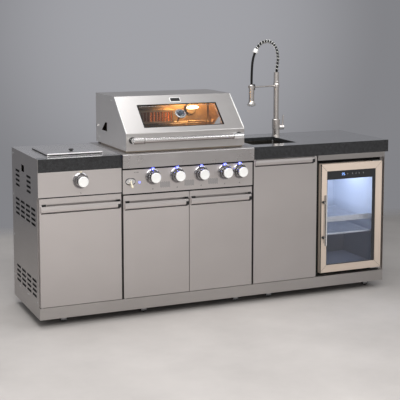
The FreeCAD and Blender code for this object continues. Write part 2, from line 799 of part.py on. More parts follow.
def hood_shell():
    t = hood_sheet
    h = t / 2
    low, along, out = slope_frame()
    # The front is one folded sheet from the lower edge to just over the slope. Top and back are welded to it.
    seam_y = hood_slope_y + hood_bend
    path = [(hood_front_y + h, hood_bottom_z), (hood_front_y + h, hood_band_top),
            (hood_slope_y, hood_top_z - h), (seam_y, hood_top_z - h)]
    front = ribbon(path, t, hood_bend, in_yz(hood_x0), V(hood_width, 0, 0))
    top = block(hood_x0, hood_x1, seam_y, hood_rear_y, hood_top_z - t, hood_top_z)
    rear = block(hood_x0, hood_x1, hood_rear_y - t, hood_rear_y, hood_rear_skirt, hood_top_z - t)
    a = low + along * window_low
    b = low + along * window_high
    x0 = grill_mid - window_width / 2
    corners = [V(x0, p.y, p.z) + out * side for p, side in ((a, 12), (b, 12), (b, -12), (a, -12))]
    front = front.cut(prism(corners, V(window_width, 0, 0)))
    # Each side plate is what these sheets enclose.
    outline = [(hood_front_y + h, hood_bottom_z), (hood_front_y + h, hood_band_top),
               (hood_slope_y, hood_top_z - h), (hood_rear_y - h, hood_top_z - h),
               (hood_rear_y - h, hood_rear_skirt), (hood_rear_y, hood_rear_skirt),
               (hood_rear_y, hood_bottom_z)]
    port = [(port_y, port_low), (port_y, port_high), (port_y + 31, port_high), (port_y + 97, port_low)]
    solids = [front, top, rear]
    for x in (hood_x0, hood_x1 - t):
        plate = prism([V(x, y, z) for y, z in outline], V(t, 0, 0)).cut(solids[:3])
        plate = max(plate.Solids, key=lambda piece: piece.Volume)
        hole = rod(V(x - 1, hood_pivot_y, hood_pivot_z), V(x + t + 1, hood_pivot_y, hood_pivot_z),
                   hood_pin_radius + shaft_gap)
        opening = prism([V(x - 1, y, z) for y, z in port], V(t + 2, 0, 0))
        solids.append(plate.cut([hole, opening]))
    return solids


def hood_window():
    low, along, out = slope_frame()
    half = window_width / 2 + glass_lap
    near = hood_sheet + 0.1
    ends = [low + along * (window_low - glass_lap), low + along * (window_high + glass_lap)]
    corners = [ends[0] - out * near, ends[1] - out * near,
               ends[1] - out * (near + glass_thick), ends[0] - out * (near + glass_thick)]
    pane = prism([V(grill_mid - half, p.y, p.z) for p in corners], V(2 * half, 0, 0))
    centre = low + along * gauge_along + V(grill_mid, 0, 0)
    return [pane.cut(rod(centre - out * 20, centre + out * 20, 9))]


def hood_thermometer():
    low, along, out = slope_frame()
    seat = low + along * gauge_along - out * (hood_sheet + 0.1) + V(grill_mid, 0, 0)
    r = gauge_radius
    top = gauge_thick
    face = turned([(0, 0), (0, r - 2), (3, r), (top - 3, r), (top, r - 3), (top, r - 7), (top - 3, r - 8),
                   (top - 3, 0)], seat, out, along)
    neck = rod(seat, seat - out * (glass_thick + 0.1), 8.9)
    nut = rod(seat - out * glass_thick, seat - out * (glass_thick + 5), 14)
    probe = rod(seat - out * (glass_thick + 5), seat - out * (glass_thick + 60), 3)
    dial = seat + out * (gauge_thick - 3)
    wide = V(2, 0, 0)
    needle = prism([dial + along * 18, dial + wide - along * 4, dial - wide - along * 4], out * 1.2)
    return [face.fuse([neck, nut, probe, needle]).removeSplitter()]


def hood_handle():
    r = handle_radius
    y = hood_front_y - handle_reach
    seat = hood_front_y - handle_washer
    left = grill_mid - handle_post_offset
    right = grill_mid + handle_post_offset
    bar = rod(V(left + handle_ferrule, y, handle_z), V(right - handle_ferrule, y, handle_z), r)
    solids = []
    pieces = []
    for x, way in ((left, 1), (right, -1)):
        solids.append(rod(V(x, seat, handle_z), V(x, hood_front_y, handle_z), r + 5))
        post = rod(V(x, y, handle_z), V(x, seat, handle_z), r - 1)
        profile = [(-r + 1, 0), (-r + 1, r - 4), (-r + 6, r + 3), (handle_ferrule - 8, r + 3),
                   (handle_ferrule - 5, r - 1), (handle_ferrule - 4, r + 3), (handle_ferrule, r + 3),
                   (handle_ferrule, 0)]
        pieces += [post, turned(profile, V(x, y, handle_z), V(way, 0, 0), V(0, 0, 1))]
    return [bar.fuse(pieces).removeSplitter()] + solids


# Side burner

def side_burner_tray():
    t = sheet
    x0 = burner_mid - lid_width / 2 + well_inset
    x1 = burner_mid + lid_width / 2 - well_inset
    y0 = lid_front + well_inset
    y1 = lid_front + lid_depth - well_inset
    low = worktop_z - well_depth
    top = block(0, burner_width, stone_strip_depth, depth, worktop_z - t, worktop_z)
    top = top.cut(block(x0, x1, y0, y1, worktop_z - 2 * t, worktop_z + 1))
    well = block(x0 - t, x1 + t, y0 - t, y1 + t, low - t, worktop_z - t)
    well = well.cut(block(x0, x1, y0, y1, low, worktop_z + 1))
    hole = rod(V(burner_mid, (y0 + y1) / 2, low - 5), V(burner_mid, (y0 + y1) / 2, low + 5), 6 + rest_gap)
    solids = [top, well.cut(hole)]
    for x in hinge_spots():
        lug = block(x - 6, x + 6, lid_pivot_y - 5, lid_pivot_y + 5, worktop_z, lid_pivot_z + 5)
        pin = rod(V(x - 14, lid_pivot_y, lid_pivot_z), V(x + 14, lid_pivot_y, lid_pivot_z), lid_pin_radius)
        solids.append(joined(lug, pin))
    return solids


def hinge_spots():
    offset = lid_width / 2 - lid_hinge_inset
    return (burner_mid - offset, burner_mid + offset)


def side_burner():
    y = lid_front + lid_depth / 2
    low = worktop_z - well_depth
    centre = V(burner_mid, y, low)
    up = V(0, 0, 1)
    cup = turned([(0, 12), (0, 34), (10, 46), (16, 46), (16, 12)], centre, up, V(1, 0, 0))
    cap = turned([(16, 0), (16, 38), (20, 42), (24, 40), (27, 20), (27, 0)], centre, up, V(1, 0, 0))
    bars = []
    grate_top = well_depth - 8
    reach = lid_width / 2 - well_inset - 6
    for angle in (0, 90, 180, 270):
        bar = block(pan_hub, reach, -4, 4, grate_top - 10, grate_top)
        bar = bar.fuse(block(reach - 8, reach, -4, 4, 0, grate_top - 10))
        bar.rotate(V(0, 0, 0), up, angle)
        bars.append(bar)
    ring = tube(V(0, 0, grate_top - 10), V(0, 0, grate_top), 62, 54)
    grate = ring.fuse(bars).removeSplitter()
    grate.translate(centre)
    return [cup, cap, grate]


def side_burner_lid():
    x0 = burner_mid - lid_width / 2
    x1 = x0 + lid_width
    y0 = lid_front
    y1 = lid_front + lid_depth
    z0 = worktop_z + rest_gap
    z1 = worktop_z + lid_thick
    t = lid_sheet
    pan = block(x0, x1, y0, y1, z0, z1)
    pan = pan.makeFillet(3, [e for e in pan.Edges if e.BoundBox.ZMin > z1 - 0.1])
    pan = pan.cut(block(x0 + t, x1 - t, y0 + t, y1 - t, z0 - 1, z1 - t))
    ears = []
    for x in hinge_spots():
        for side in (-1, 1):
            a = x + side * 6.5
            b = x + side * 13.5
            ear = block(min(a, b), max(a, b), y1 - t, lid_pivot_y, lid_pivot_z - 4.5, lid_pivot_z + 4.5)
            end = rod(V(min(a, b), lid_pivot_y, lid_pivot_z), V(max(a, b), lid_pivot_y, lid_pivot_z), 4.5)
            bore = rod(V(min(a, b) - 1, lid_pivot_y, lid_pivot_z), V(max(a, b) + 1, lid_pivot_y, lid_pivot_z),
                       lid_pin_radius + shaft_gap)
            ears.append(ear.fuse(end).cut(bore))
    pull = turned([(0, 0), (0, 9), (5, 8), (7, 14), (10, 15), (12, 12), (12, 0)],
                  V(burner_mid, lid_front + 80, z1), V(0, 0, 1), V(1, 0, 0))
    return [pan.fuse(ears).removeSplitter(), pull]


# Sink and tap

def sink_bowl():
    # Four sides, each folded out into a rim under the stone, welded to each other and to the floor.
    s = bowl_sheet
    x0 = sink_x0 + bowl_left
    x1 = x0 + bowl_width
    y0 = bowl_front
    y1 = bowl_front + bowl_length
    low = slab_bottom - bowl_depth
    top = slab_bottom
    sides = []
    for wall, fold in ((x0 - s, x0 - bowl_rim), (x1, x1 + bowl_rim)):
        flange = block(min(fold, wall + s), max(fold, wall), y0 - bowl_rim, y1 + bowl_rim, top - s, top)
        sides.append(joined(block(wall, wall + s, y0 - s, y1 + s, low - s, top), flange))
    for wall, fold in ((y0 - s, y0 - bowl_rim), (y1, y1 + bowl_rim)):
        flange = block(x0, x1, min(fold, wall + s), max(fold, wall), top - s, top)
        sides.append(joined(block(x0, x1, wall, wall + s, low - s, top), flange))
    middle = V((x0 + x1) / 2, (y0 + y1) / 2, 0)
    drain_hole = rod(middle + V(0, 0, low - 5), middle + V(0, 0, low + 5), drain_radius)
    floor = block(x0, x1, y0, y1, low - s, low).cut(drain_hole)
    inner = block(x0, x1, y0, y1, low, top)
    inner = inner.makeFillet(bowl_corner, upright_edges(inner))
    welds = []
    for a, b in ((x0, y0), (x1, y0), (x0, y1), (x1, y1)):
        way_x = bowl_corner if a == x0 else -bowl_corner
        way_y = bowl_corner if b == y0 else -bowl_corner
        corner = block(min(a, a + way_x), max(a, a + way_x), min(b, b + way_y), max(b, b + way_y), low, top)
        welds.append(corner.cut(inner))
    up = V(0, 0, 1)
    neck = drain_radius - 0.2
    strainer = turned([(-24, 20), (-24, 24), (-10, 24), (-4, neck), (0, neck), (0, drain_radius + 3),
                       (1.5, drain_radius + 3), (1.5, drain_radius - 4), (-6, 26), (-8, 20)],
                      middle + V(0, 0, low), up, V(1, 0, 0))
    grid = rod(middle + V(0, 0, low - 9.5), middle + V(0, 0, low - 8), 22)
    holes = []
    for k in range(8):
        angle = math.pi * k / 4
        spot = middle + V(14 * math.cos(angle), 14 * math.sin(angle), 0)
        holes.append(rod(spot + V(0, 0, low - 12), spot + V(0, 0, low - 6), 3))
    tail = tube(middle + V(0, 0, low - 130), middle + V(0, 0, low - 24), 21, 19)
    return sides + [floor] + welds + [strainer.fuse([grid.cut(holes), tail]).removeSplitter()]


def tap_base():
    up = V(0, 0, 1)
    centre = V(tap_centre.x, tap_centre.y, worktop_z)
    top = tap_base_top - worktop_z
    body = turned([(0, 0), (0, 27), (5, 27), (7, 23), (44, 23), (48, 25), (top - 3, 25), (top, 22),
                   (top, tap_bore_radius), (top + 16, tap_bore_radius), (top + 16, 0)], centre, up, V(1, 0, 0))
    housing = rod(centre + V(0, 0, lever_up), centre + V(lever_out, 0, lever_up), lever_boss_radius)
    socket = rod(centre + V(lever_out - 12, 0, lever_up), centre + V(lever_out + 1, 0, lever_up),
                 lever_pin_radius + shaft_gap)
    shank = tube(centre - V(0, 0, 62), centre, tap_hole_radius - 1, tap_bore_radius)
    nut = rod(centre - V(0, 0, stone_slab + 8), centre - V(0, 0, stone_slab), 28)
    nut = nut.cut(rod(centre - V(0, 0, stone_slab + 9), centre, tap_hole_radius - 1))
    body = body.fuse(housing).cut(socket)
    return [body.removeSplitter(), shank, nut]


def tap_lever():
    centre = V(tap_centre.x, tap_centre.y, worktop_z + lever_up)
    start = lever_out + rest_gap
    r = lever_boss_radius
    hub = turned([(start, 0), (start, r), (lever_out + 10, r), (lever_out + 14, r - 4), (lever_out + 14, 0)],
                 centre, V(1, 0, 0), V(0, 0, 1))
    pin = rod(centre + V(lever_out - 10, 0, 0), centre + V(lever_out + 1, 0, 0), lever_pin_radius)
    lean = V(0.06, 0, 1)
    root = centre + V(lever_out + 7, 0, 10)
    grip = Part.makeCone(5.5, 4, lever_length, root, lean)
    end = Part.makeSphere(4, root + lean.normalize() * lever_length)
    return [hub.fuse([pin, grip, end]).removeSplitter()]


def arch_frame():
    # The arch stands in one upright plane through the column, turned toward the front left.
    turn = math.radians(arm_turn)
    return V(-math.cos(turn), -math.sin(turn), 0)


def arch_route():
    # Distance out along the arm, and height over the column's top.
    spots = [(0, -60), (0, 15), (-16, 90), (5, 165), (62, 200), (140, 188), (tap_reach - 23, 127),
             (tap_reach, 50), (tap_reach, head_top - column_top)]
    side = arch_frame()
    return [V(tap_centre.x, tap_centre.y, column_top + up) + side * out for out, up in spots]


def tap_hose():
    edges, radii = route_edges(arch_route())
    solid = pipe(edges, hose_radius)
    length = sum(e.Length for e in edges)
    print("hose length", round(length, 1), "smallest bend", round(min(radii), 1),
          "volume over section times length", round(solid.Volume / (math.pi * hose_radius ** 2 * length), 4))
    return [solid]


def along_edges(edges, distance):
    for edge in edges:
        if distance <= edge.Length or edge is edges[-1]:
            share = edge.FirstParameter + (edge.LastParameter - edge.FirstParameter) * distance / edge.Length
            return edge.valueAt(share), edge.tangentAt(share)
        distance -= edge.Length


def biarc(p, a, q, b):
    # Two arcs that leave p along a and reach q along b.
    gap = q - p
    both = a + b
    k = 2 * (1 - a.dot(b))
    m = gap.dot(both)
    reach = gap.dot(gap) / (2 * m) if k < 1e-9 else (-m + math.sqrt(m * m + k * gap.dot(gap))) / k
    joint = (p + a * reach + q - b * reach) * 0.5
    edges = []
    for start, way, end in ((p, a, joint), (q, b * -1, joint)):
        chord = end - start
        angle = way.getAngle(chord)
        rise = (way - chord * (way.dot(chord) / chord.dot(chord))).normalize()
        crown = (start + end) * 0.5 + rise * (chord.Length / 2 * math.tan(angle / 2))
        edges.append((start, crown, end))
    first = Part.Arc(*edges[0]).toShape()
    second = Part.Arc(edges[1][2], edges[1][1], edges[1][0]).toShape()
    return [first, second]


def spring_run():
    # The spring stands on the column and ends under the ferrule, in the straight run past the arch.
    edges, radii = route_edges(arch_route())
    start = column_top - arch_route()[0].z + wire_radius + rest_gap
    straight = 12
    ferrule = sum(e.Length for e in edges[:straight]) + edges[straight].Length / 2 - ferrule_length / 2
    return edges, start, ferrule


def tap_spring():
    edges, start, ferrule = spring_run()
    end = ferrule - wire_radius - rest_gap
    side = arch_frame()
    normal = side.cross(V(0, 0, 1))

    def coil_point(share):
        centre, way = along_edges(edges, start + (end - start) * share)
        angle = 2 * math.pi * coil_turns * share
        inner = way.cross(normal)
        return centre + (inner * math.cos(angle) + normal * math.sin(angle)) * coil_radius

    steps = coil_turns * 4
    marks = []
    for k in range(steps + 1):
        share = k / steps
        ahead = coil_point(min(share + 1e-4, 1.0))
        behind = coil_point(max(share - 1e-4, 0.0))
        marks.append((coil_point(share), (ahead - behind).normalize()))
    arcs = []
    for (p, a), (q, b) in zip(marks, marks[1:]):
        arcs += biarc(p, a, q, b)
    gap = min((coil_point(k / 400) - coil_point(j / 400)).Length
              for k in range(401) for j in range(k + 400 // coil_turns // 2 + 2, 401))
    print("spring least gap to itself", round(gap - 2 * wire_radius, 2))
    return [pipe(arcs, wire_radius)]


def tap_column():
    up = V(0, 0, 1)
    r = column_radius
    foot = V(tap_centre.x, tap_centre.y, tap_base_top + rest_gap)
    height = column_top - foot.z
    arm_h = arm_z - foot.z
    bore = hose_radius + 0.8
    socket = tap_bore_radius + shaft_gap
    column = turned([(0, socket), (0, r), (arm_h - 12, r), (arm_h - 10, r + 2), (arm_h + 28, r + 2),
                     (arm_h + 30, r - 0.5), (height, r - 0.5), (height, bore), (height - 60, bore),
                     (height - 60, 4), (height - 64, 4), (height - 64, socket)], foot, up, V(1, 0, 0))
    side = arch_frame()
    head = tap_centre + side * tap_reach
    arm_start = V(tap_centre.x, tap_centre.y, arm_z) + side * (r - 1)
    arm_end = V(head.x, head.y, arm_z) - side * (head_radius + 2)
    arm = rod(arm_start, arm_end, 5)
    clip = tube(V(head.x, head.y, arm_z - 7), V(head.x, head.y, arm_z + 9),
                head_radius + 4, head_radius + 0.15)
    gap = block(0, 40, -8, 8, arm_z - 10, arm_z + 12)
    gap.rotate(V(0, 0, 0), up, math.degrees(math.atan2(side.y, side.x)))
    gap.translate(V(head.x, head.y, 0))
    column = column.fuse([arm, clip.cut(gap)])
    edges, start, ferrule = spring_run()
    spot, way = along_edges(edges, ferrule)
    sleeve = tube(spot, spot + way * ferrule_length, coil_radius + 2, hose_radius + 2 * rest_gap)
    return [column.removeSplitter(), sleeve]


def spray_head():
    head = tap_centre + arch_frame() * tap_reach
    up = V(0, 0, 1)
    r = head_radius
    profile = [(head_bottom, 0), (head_bottom, nozzle_radius - 4), (head_bottom + 3, nozzle_radius - 3),
               (head_bottom + 4, nozzle_radius), (head_bottom + 14, nozzle_radius), (head_bottom + 17, r + 3),
               (head_bottom + 30, r), (head_top - 5, r), (head_top, r - 5), (head_top, 5), (head_top - 12, 5),
               (head_top - 14, r - 3), (head_bottom + 30, r - 3), (head_bottom + 14, nozzle_radius - 4),
               (head_bottom + 4, nozzle_radius - 4), (head_bottom + 4, 0)]
    body = turned(profile, V(head.x, head.y, 0), up, V(1, 0, 0))
    ports = []
    for k in range(6):
        angle = math.pi * k / 3
        spot = head + V(13 * math.cos(angle), 13 * math.sin(angle), head_bottom - 1)
        ports.append(rod(spot, spot + V(0, 0, 4), 2))
    return [body.cut(ports)]


# Fridge

def fridge_case():
    w = fridge_wall
    front = fridge_door_thick + fridge_seal
    x0 = fridge_x0
    x1 = fridge_x1
    case = block(x0, x1, front, fridge_back_y, kick_top, fridge_case_top)
    cavity = block(x0 + w, x1 - w, front - 1, fridge_back_y - w, kick_top + w + 12, fridge_case_top - w - 10)
    hump = block(x0 + w, x1 - w, fridge_back_y - w - 140, fridge_back_y - w,
                 kick_top + w + 12, kick_top + w + 120)
    case = case.cut(cavity.cut(hump))
    ribs = []
    for z in shelf_heights:
        for a, b in ((x0 + w, x0 + w + 7), (x1 - w - 7, x1 - w)):
            ribs.append(block(a, b, front + 25, fridge_back_y - w - 20, z - 4, z))
    return [joined(case, *ribs)]


def fridge_shelves():
    w = fridge_wall
    front = fridge_door_thick + fridge_seal
    x0 = fridge_x0 + w + 1
    x1 = fridge_x1 - w - 1
    solids = []
    for number, z in enumerate(shelf_heights):
        shelf = slotted_plate(x0, x1, front + 22, fridge_back_y - w - 25, z, shelf_thick, 8, 18, 4)
        height = shelf_rail if number == 0 else shelf_thick + 4
        rail = block(x0, x1, front + 18, front + 22, z - 2, z - 2 + height)
        solids.append(shelf.fuse(rail).removeSplitter())
    return solids


def fridge_door():
    # Four mitred bars round the glass, and an upright flat pull on two posts.
    x0, x1 = fridge_x0, fridge_x1
    z0, z1 = fridge_door_bottom, fridge_door_top
    w = fridge_stile
    full = block(x0, x1, 0, fridge_door_thick, z0, z1)
    opening = block(x0 + w, x1 - w, -1, fridge_door_thick + 1, z0 + w, z1 - w)
    rebate = block(x0 + w - 10, x1 - w + 10, 5, fridge_door_thick + 1, z0 + w - 10, z1 - w + 10)
    ring = full.cut([opening, rebate])
    tip = w + 6
    wedges = [[V(x0, 0, z0), V(x0, 0, z1), V(x0 + tip, 0, z1 - tip), V(x0 + tip, 0, z0 + tip)],
              [V(x1, 0, z0), V(x1, 0, z1), V(x1 - tip, 0, z1 - tip), V(x1 - tip, 0, z0 + tip)],
              [V(x0, 0, z0), V(x1, 0, z0), V(x1 - tip, 0, z0 + tip), V(x0 + tip, 0, z0 + tip)],
              [V(x0, 0, z1), V(x1, 0, z1), V(x1 - tip, 0, z1 - tip), V(x0 + tip, 0, z1 - tip)]]
    run = V(0, fridge_door_thick + 2, 0)
    bars = [ring.common(prism([p - V(0, 1, 0) for p in wedge], run)) for wedge in wedges]
    solids = []
    for bar in bars:
        for z_a, z_b in ((z0 - 1, z0 + pin_grip), (z1 - pin_grip, z1 + 1)):
            bar = bar.cut(rod(V(fridge_pivot_x, fridge_pivot_y, z_a), V(fridge_pivot_x, fridge_pivot_y, z_b),
                              pin_radius + shaft_gap))
        solids += bar.Solids
    pull_x = x0 + 18
    y = -fridge_handle_reach
    pull = block(pull_x - 4, pull_x + 4, y, y + 12, fridge_handle_low, fridge_handle_high)
    for z in (fridge_handle_low + 44, fridge_handle_high - 48):
        pull = pull.fuse(rod(V(pull_x, y + 11, z), V(pull_x, 0, z), 6))
    solids.append(pull.removeSplitter())
    # The rubber seal on the back of the door, just clear of the case.
    y1 = fridge_door_thick + fridge_seal - rest_gap
    seal = block(x0 + 22, x1 - 22, fridge_door_thick, y1, z0 + 8, z1 - 8)
    solids.append(seal.cut(block(x0 + 34, x1 - 34, fridge_door_thick - 1, y1 + 1, z0 + 20, z1 - 20)))
    return solids


def fridge_door_glass():
    w = fridge_stile - 9.7
    return [block(fridge_x0 + w, fridge_x1 - w, 5.1, 30, fridge_door_bottom + w, fridge_door_top - w)]


# Hinge pins, all carried by the fixed cabinets

def hinge_pins():
    solids = []
    doors = [(door_side_gap + pivot_in, left_door_top, left_panel_bottom),
             (grill_x0 + door_side_gap + pivot_in, grill_door_top, grill_panel_bottom),
             (sink_x0 - door_side_gap - pivot_in, grill_door_top, grill_panel_bottom)]
    for x, top, seat in doors:
        solids.append(rod(V(x, pivot_back, top - pin_grip), V(x, pivot_back, seat), pin_radius))
        solids.append(rod(V(x, pivot_back, kick_top), V(x, pivot_back, door_z0 + pin_grip), pin_radius))
    x = bay_x0 - pivot_in
    solids.append(rod(V(x, pivot_back, kick_top), V(x, pivot_back, door_z0 + pin_grip), pin_radius))
    seat = stone_bottom - sheet
    solids.append(rod(V(x, pivot_back, sink_door_top - pin_grip), V(x, pivot_back, seat), pin_radius))
    # Fridge hinges: plates on the case front with a pin into the door.
    x = fridge_pivot_x
    y = fridge_pivot_y
    front = fridge_door_thick + fridge_seal
    for z, way in ((fridge_door_top + 1, 1), (fridge_door_bottom - 1, -1)):
        low, high = min(z, z + way * 4), max(z, z + way * 4)
        arm = block(x - 60, x + pin_radius + 2, y - 10, front, low, high)
        pin = rod(V(x, y, z), V(x, y, z - way * pin_grip), pin_radius)
        solids.append(arm.fuse(pin).removeSplitter())
    # Hood bolts, pushed through the ears of the firebox.
    for x, way in ((hood_x0, -1), (hood_x1, 1)):
        inner = x - way * (firebox_side_gap + sheet + 4)
        outer = x + way * rest_gap
        start = V(inner, hood_pivot_y, hood_pivot_z)
        end = V(outer, hood_pivot_y, hood_pivot_z)
        bolt = rod(start, end, hood_pin_radius)
        head = rod(end, end + V(way * 5, 0, 0), 9)
        solids.append(bolt.fuse(head).removeSplitter())
    return solids


# Casters

def caster_fork(spot):
    web_z = fork_web_z
    half = wheel_width / 2 + 1.5
    web = rod(V(0, 0, web_z), V(0, 0, web_z + 3), 21)
    race = rod(V(0, 0, web_z + 3), V(0, 0, caster_height - plate_thick - rest_gap), 14)
    arms = []
    for y0, y1 in ((-half - fork_sheet, -half), (half, half + fork_sheet)):
        side = [(-14, web_z + 2), (14, web_z + 2), (trail + 9, wheel_radius + 4),
                (trail + 9, wheel_radius - 8), (trail - 9, wheel_radius - 8), (-16, web_z - 12)]
        arms.append(prism([V(x, y0, z) for x, z in side], V(0, y1 - y0, 0)))
    bridge = block(-14, 14, -half - fork_sheet, half + fork_sheet, web_z, web_z + 3)
    axle = rod(V(trail, -half - 4, wheel_radius), V(trail, half + 4, wheel_radius), axle_radius)
    wide = half + 1
    pedal_shape = [(-13, 52), (-13, 46), (-34, 22), (-46, 20), (-46, 23.5), (-36, 26)]
    pedal = prism([V(x, -wide, z) for x, z in pedal_shape], V(0, 2 * wide, 0))
    fork = web.fuse([race, bridge, axle, pedal] + arms)
    fork = fork.cut(rod(V(0, 0, web_z - 1), V(0, 0, caster_height), king_radius + shaft_gap)).removeSplitter()
    fork.translate(spot)
    return fork.Solids


def caster_wheel(spot):
    half = wheel_width / 2
    profile = [(-half, axle_radius + shaft_gap), (-half, 11), (-half + 2, 12), (-half + 2, 18), (-half, 19),
               (-half, wheel_radius - 3), (-half + 3, wheel_radius), (half - 3, wheel_radius),
               (half, wheel_radius - 3), (half, 19), (half - 2, 18), (half - 2, 12), (half, 11),
               (half, axle_radius + shaft_gap)]
    return [turned(profile, spot + V(trail, 0, wheel_radius), V(0, 1, 0), V(0, 0, 1))]


def all_caster_spots():
    return (caster_spots(0, burner_width, False) + caster_spots(grill_x0, sink_x0, True)
            + caster_spots(sink_x0, right_end, True))


# Assembly

def bench_origin():
    left = 0.0
    right = right_end + stone_overhang
    front = -max(knob_front, fridge_handle_reach)
    return V((left + right) / 2, (front + depth) / 2, 0)


def make_nodes():
    nodes = {
        "left_cabinet": left_cabinet(), "grill_cabinet": grill_cabinet(), "sink_cabinet": sink_cabinet(),
        "granite_tops": granite_tops(), "control_panels": control_panels(), "control_bezels": control_bezels(),
        "firebox": firebox(), "gas_train": gas_train(), "cooking_grates": cooking_grates(),
        "rear_burner": rear_burner(), "side_burner_tray": side_burner_tray(), "side_burner": side_burner(),
        "sink_bowl": sink_bowl(), "tap_base": tap_base(), "fridge_case": fridge_case(),
        "fridge_shelves": fridge_shelves(), "hinge_pins": hinge_pins(), "hood_shell": hood_shell(),
        "hood_window": hood_window(), "hood_thermometer": hood_thermometer(), "hood_handle": hood_handle(),
        "side_burner_lid": side_burner_lid(), "left_door": left_door(),
        "grill_door_left": grill_door_left(), "grill_door_right": grill_door_right(),
        "sink_door": sink_door(), "fridge_door": fridge_door(), "fridge_door_glass": fridge_door_glass(),
        "light_switch": light_switch(), "tap_column": tap_column(), "tap_lever": tap_lever(),
        "tap_hose": tap_hose(), "tap_spring": tap_spring(), "spray_head": spray_head(),
    }
    for number in range(len(knob_places)):
        nodes["knob_" + str(number + 1)] = knob(number)
    for number, spot in enumerate(all_caster_spots()):
        nodes["caster_fork_" + str(number + 1)] = caster_fork(spot)
        nodes["caster_wheel_" + str(number + 1)] = caster_wheel(spot)
    return nodes


def export(nodes):
    os.makedirs("parts", exist_ok=True)
    shift = bench_origin() * -1
    for name, pieces in nodes.items():
        solids = [solid for piece in pieces for solid in piece.Solids]
        shape = solids[0] if len(solids) == 1 else Part.makeCompound(solids)
        shape.translate(shift)
        shape.exportStep("parts/" + name + ".step")


if __name__ == "__main__":
    export(make_nodes())
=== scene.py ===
import bpy
import bmesh
import math
from mathutils import Matrix, Vector


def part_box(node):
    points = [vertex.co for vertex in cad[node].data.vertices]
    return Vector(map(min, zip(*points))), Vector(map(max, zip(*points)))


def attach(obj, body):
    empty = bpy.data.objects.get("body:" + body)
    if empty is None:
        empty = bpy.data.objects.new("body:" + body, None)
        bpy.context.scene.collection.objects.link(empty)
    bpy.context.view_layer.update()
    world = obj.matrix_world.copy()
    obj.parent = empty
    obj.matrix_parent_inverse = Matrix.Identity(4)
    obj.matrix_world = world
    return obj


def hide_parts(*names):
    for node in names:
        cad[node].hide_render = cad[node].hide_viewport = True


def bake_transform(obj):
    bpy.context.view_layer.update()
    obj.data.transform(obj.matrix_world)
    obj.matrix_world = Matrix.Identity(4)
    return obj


# Outdoor kitchen island: stainless cabinets, stone tops, grill hood, spring tap and glass door fridge.
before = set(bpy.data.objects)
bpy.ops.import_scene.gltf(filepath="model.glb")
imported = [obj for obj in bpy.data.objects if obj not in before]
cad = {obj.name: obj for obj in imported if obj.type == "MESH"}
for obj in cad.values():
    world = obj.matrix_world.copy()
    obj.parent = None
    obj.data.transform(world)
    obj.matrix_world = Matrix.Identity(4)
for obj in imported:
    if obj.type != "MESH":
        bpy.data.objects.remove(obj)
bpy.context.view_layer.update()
print("frame loaded,", len(cad), "nodes")


# Places. The bench frame has its zero at the left end, the door fronts and the floor, in millimetres.

benchZero = Vector((1.105, 0.264, 0.0))
modules = ((0, 475), (475, 1280), (1280, 2185))
backFace = 585


def bench(x, y, z):
    return Vector((x, y, z)) / 1000 - benchZero


def ends(xs, ys, zs):
    # The two corners of a block given by its ranges in the bench frame.
    return bench(xs[0], ys[0], zs[0]), bench(xs[1], ys[1], zs[1])


def middle(node):
    low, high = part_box(node)
    return (low + high) / 2


def standing(place, normal, up=Vector((0, 0, 1))):
    # A frame whose Z looks out of a surface and whose Y points up along it.
    out = Vector(normal).normalized()
    across = up.cross(out).normalized()
    above = out.cross(across)
    return Matrix.Translation(place) @ Matrix((across, above, out)).transposed().to_4x4()


def facingFront(x, y, z):
    return standing(bench(x, y, z), (0, -1, 0))


# Shader helpers

def addNode(mat, kind, sockets=None, **settings):
    node = mat.node_tree.nodes.new("ShaderNode" + kind)
    for key, value in settings.items():
        setattr(node, key, value)
    for key, value in (sockets or {}).items():
        if isinstance(value, bpy.types.NodeSocket):
            mat.node_tree.links.new(value, node.inputs[key])
        else:
            node.inputs[key].default_value = value
    return node


def shaderOf(mat):
    return mat.node_tree.nodes["Principled BSDF"]


def plainFinish(name, colour, metallic, roughness, **more):
    mat = bpy.data.materials.new(name)
    mat.use_nodes = True
    sockets = {"Base_Color": (*colour, 1), "Metallic": metallic, "Roughness": roughness, **more}
    for key, value in sockets.items():
        shaderOf(mat).inputs[key.replace("_", " ")].default_value = value
    return mat


def objectCoords(mat):
    return addNode(mat, "TexCoord").outputs["Object"]


def alongAxis(mat, axis):
    return addNode(mat, "SeparateXYZ", {0: objectCoords(mat)}).outputs[axis]


def alongWay(mat, vector, way):
    return addNode(mat, "VectorMath", {0: vector, 1: way}, operation="DOT_PRODUCT").outputs["Value"]


def stretched(mat, scale):
    return addNode(mat, "Mapping", {"Vector": objectCoords(mat), "Scale": scale}).outputs[0]


def noise(mat, scale, detail=3.0, rough=0.5):
    sockets = {"Vector": stretched(mat, scale), "Scale": 1.0, "Detail": detail, "Roughness": rough}
    return addNode(mat, "TexNoise", sockets).outputs["Fac"]


def spread(mat, value, low, high, fromLow=0.3, fromHigh=0.7, smooth="LINEAR"):
    sockets = {"Value": value, "From Min": fromLow, "From Max": fromHigh, "To Min": low, "To Max": high}
    return addNode(mat, "MapRange", sockets, interpolation_type=smooth).outputs[0]


def tinted(mat, value, dark, light):
    sockets = {"Factor": value, 6: (*dark, 1), 7: (*light, 1)}
    return addNode(mat, "Mix", sockets, data_type="RGBA").outputs[2]


def multiplied(mat, tone, level):
    sockets = {"Factor": 1.0, 6: tone, 7: level}
    return addNode(mat, "Mix", sockets, data_type="RGBA", blend_type="MULTIPLY").outputs[2]


def wire(mat, output, socket):
    mat.node_tree.links.new(output, shaderOf(mat).inputs[socket])


def toned(mat, value, dark, light, fromLow=0.3, fromHigh=0.7, socket="Base Color"):
    wire(mat, tinted(mat, spread(mat, value, 0, 1, fromLow, fromHigh), dark, light), socket)


def edgeNormal(mat, radius):
    return addNode(mat, "Bevel", {"Radius": radius}, samples=4).outputs[0]


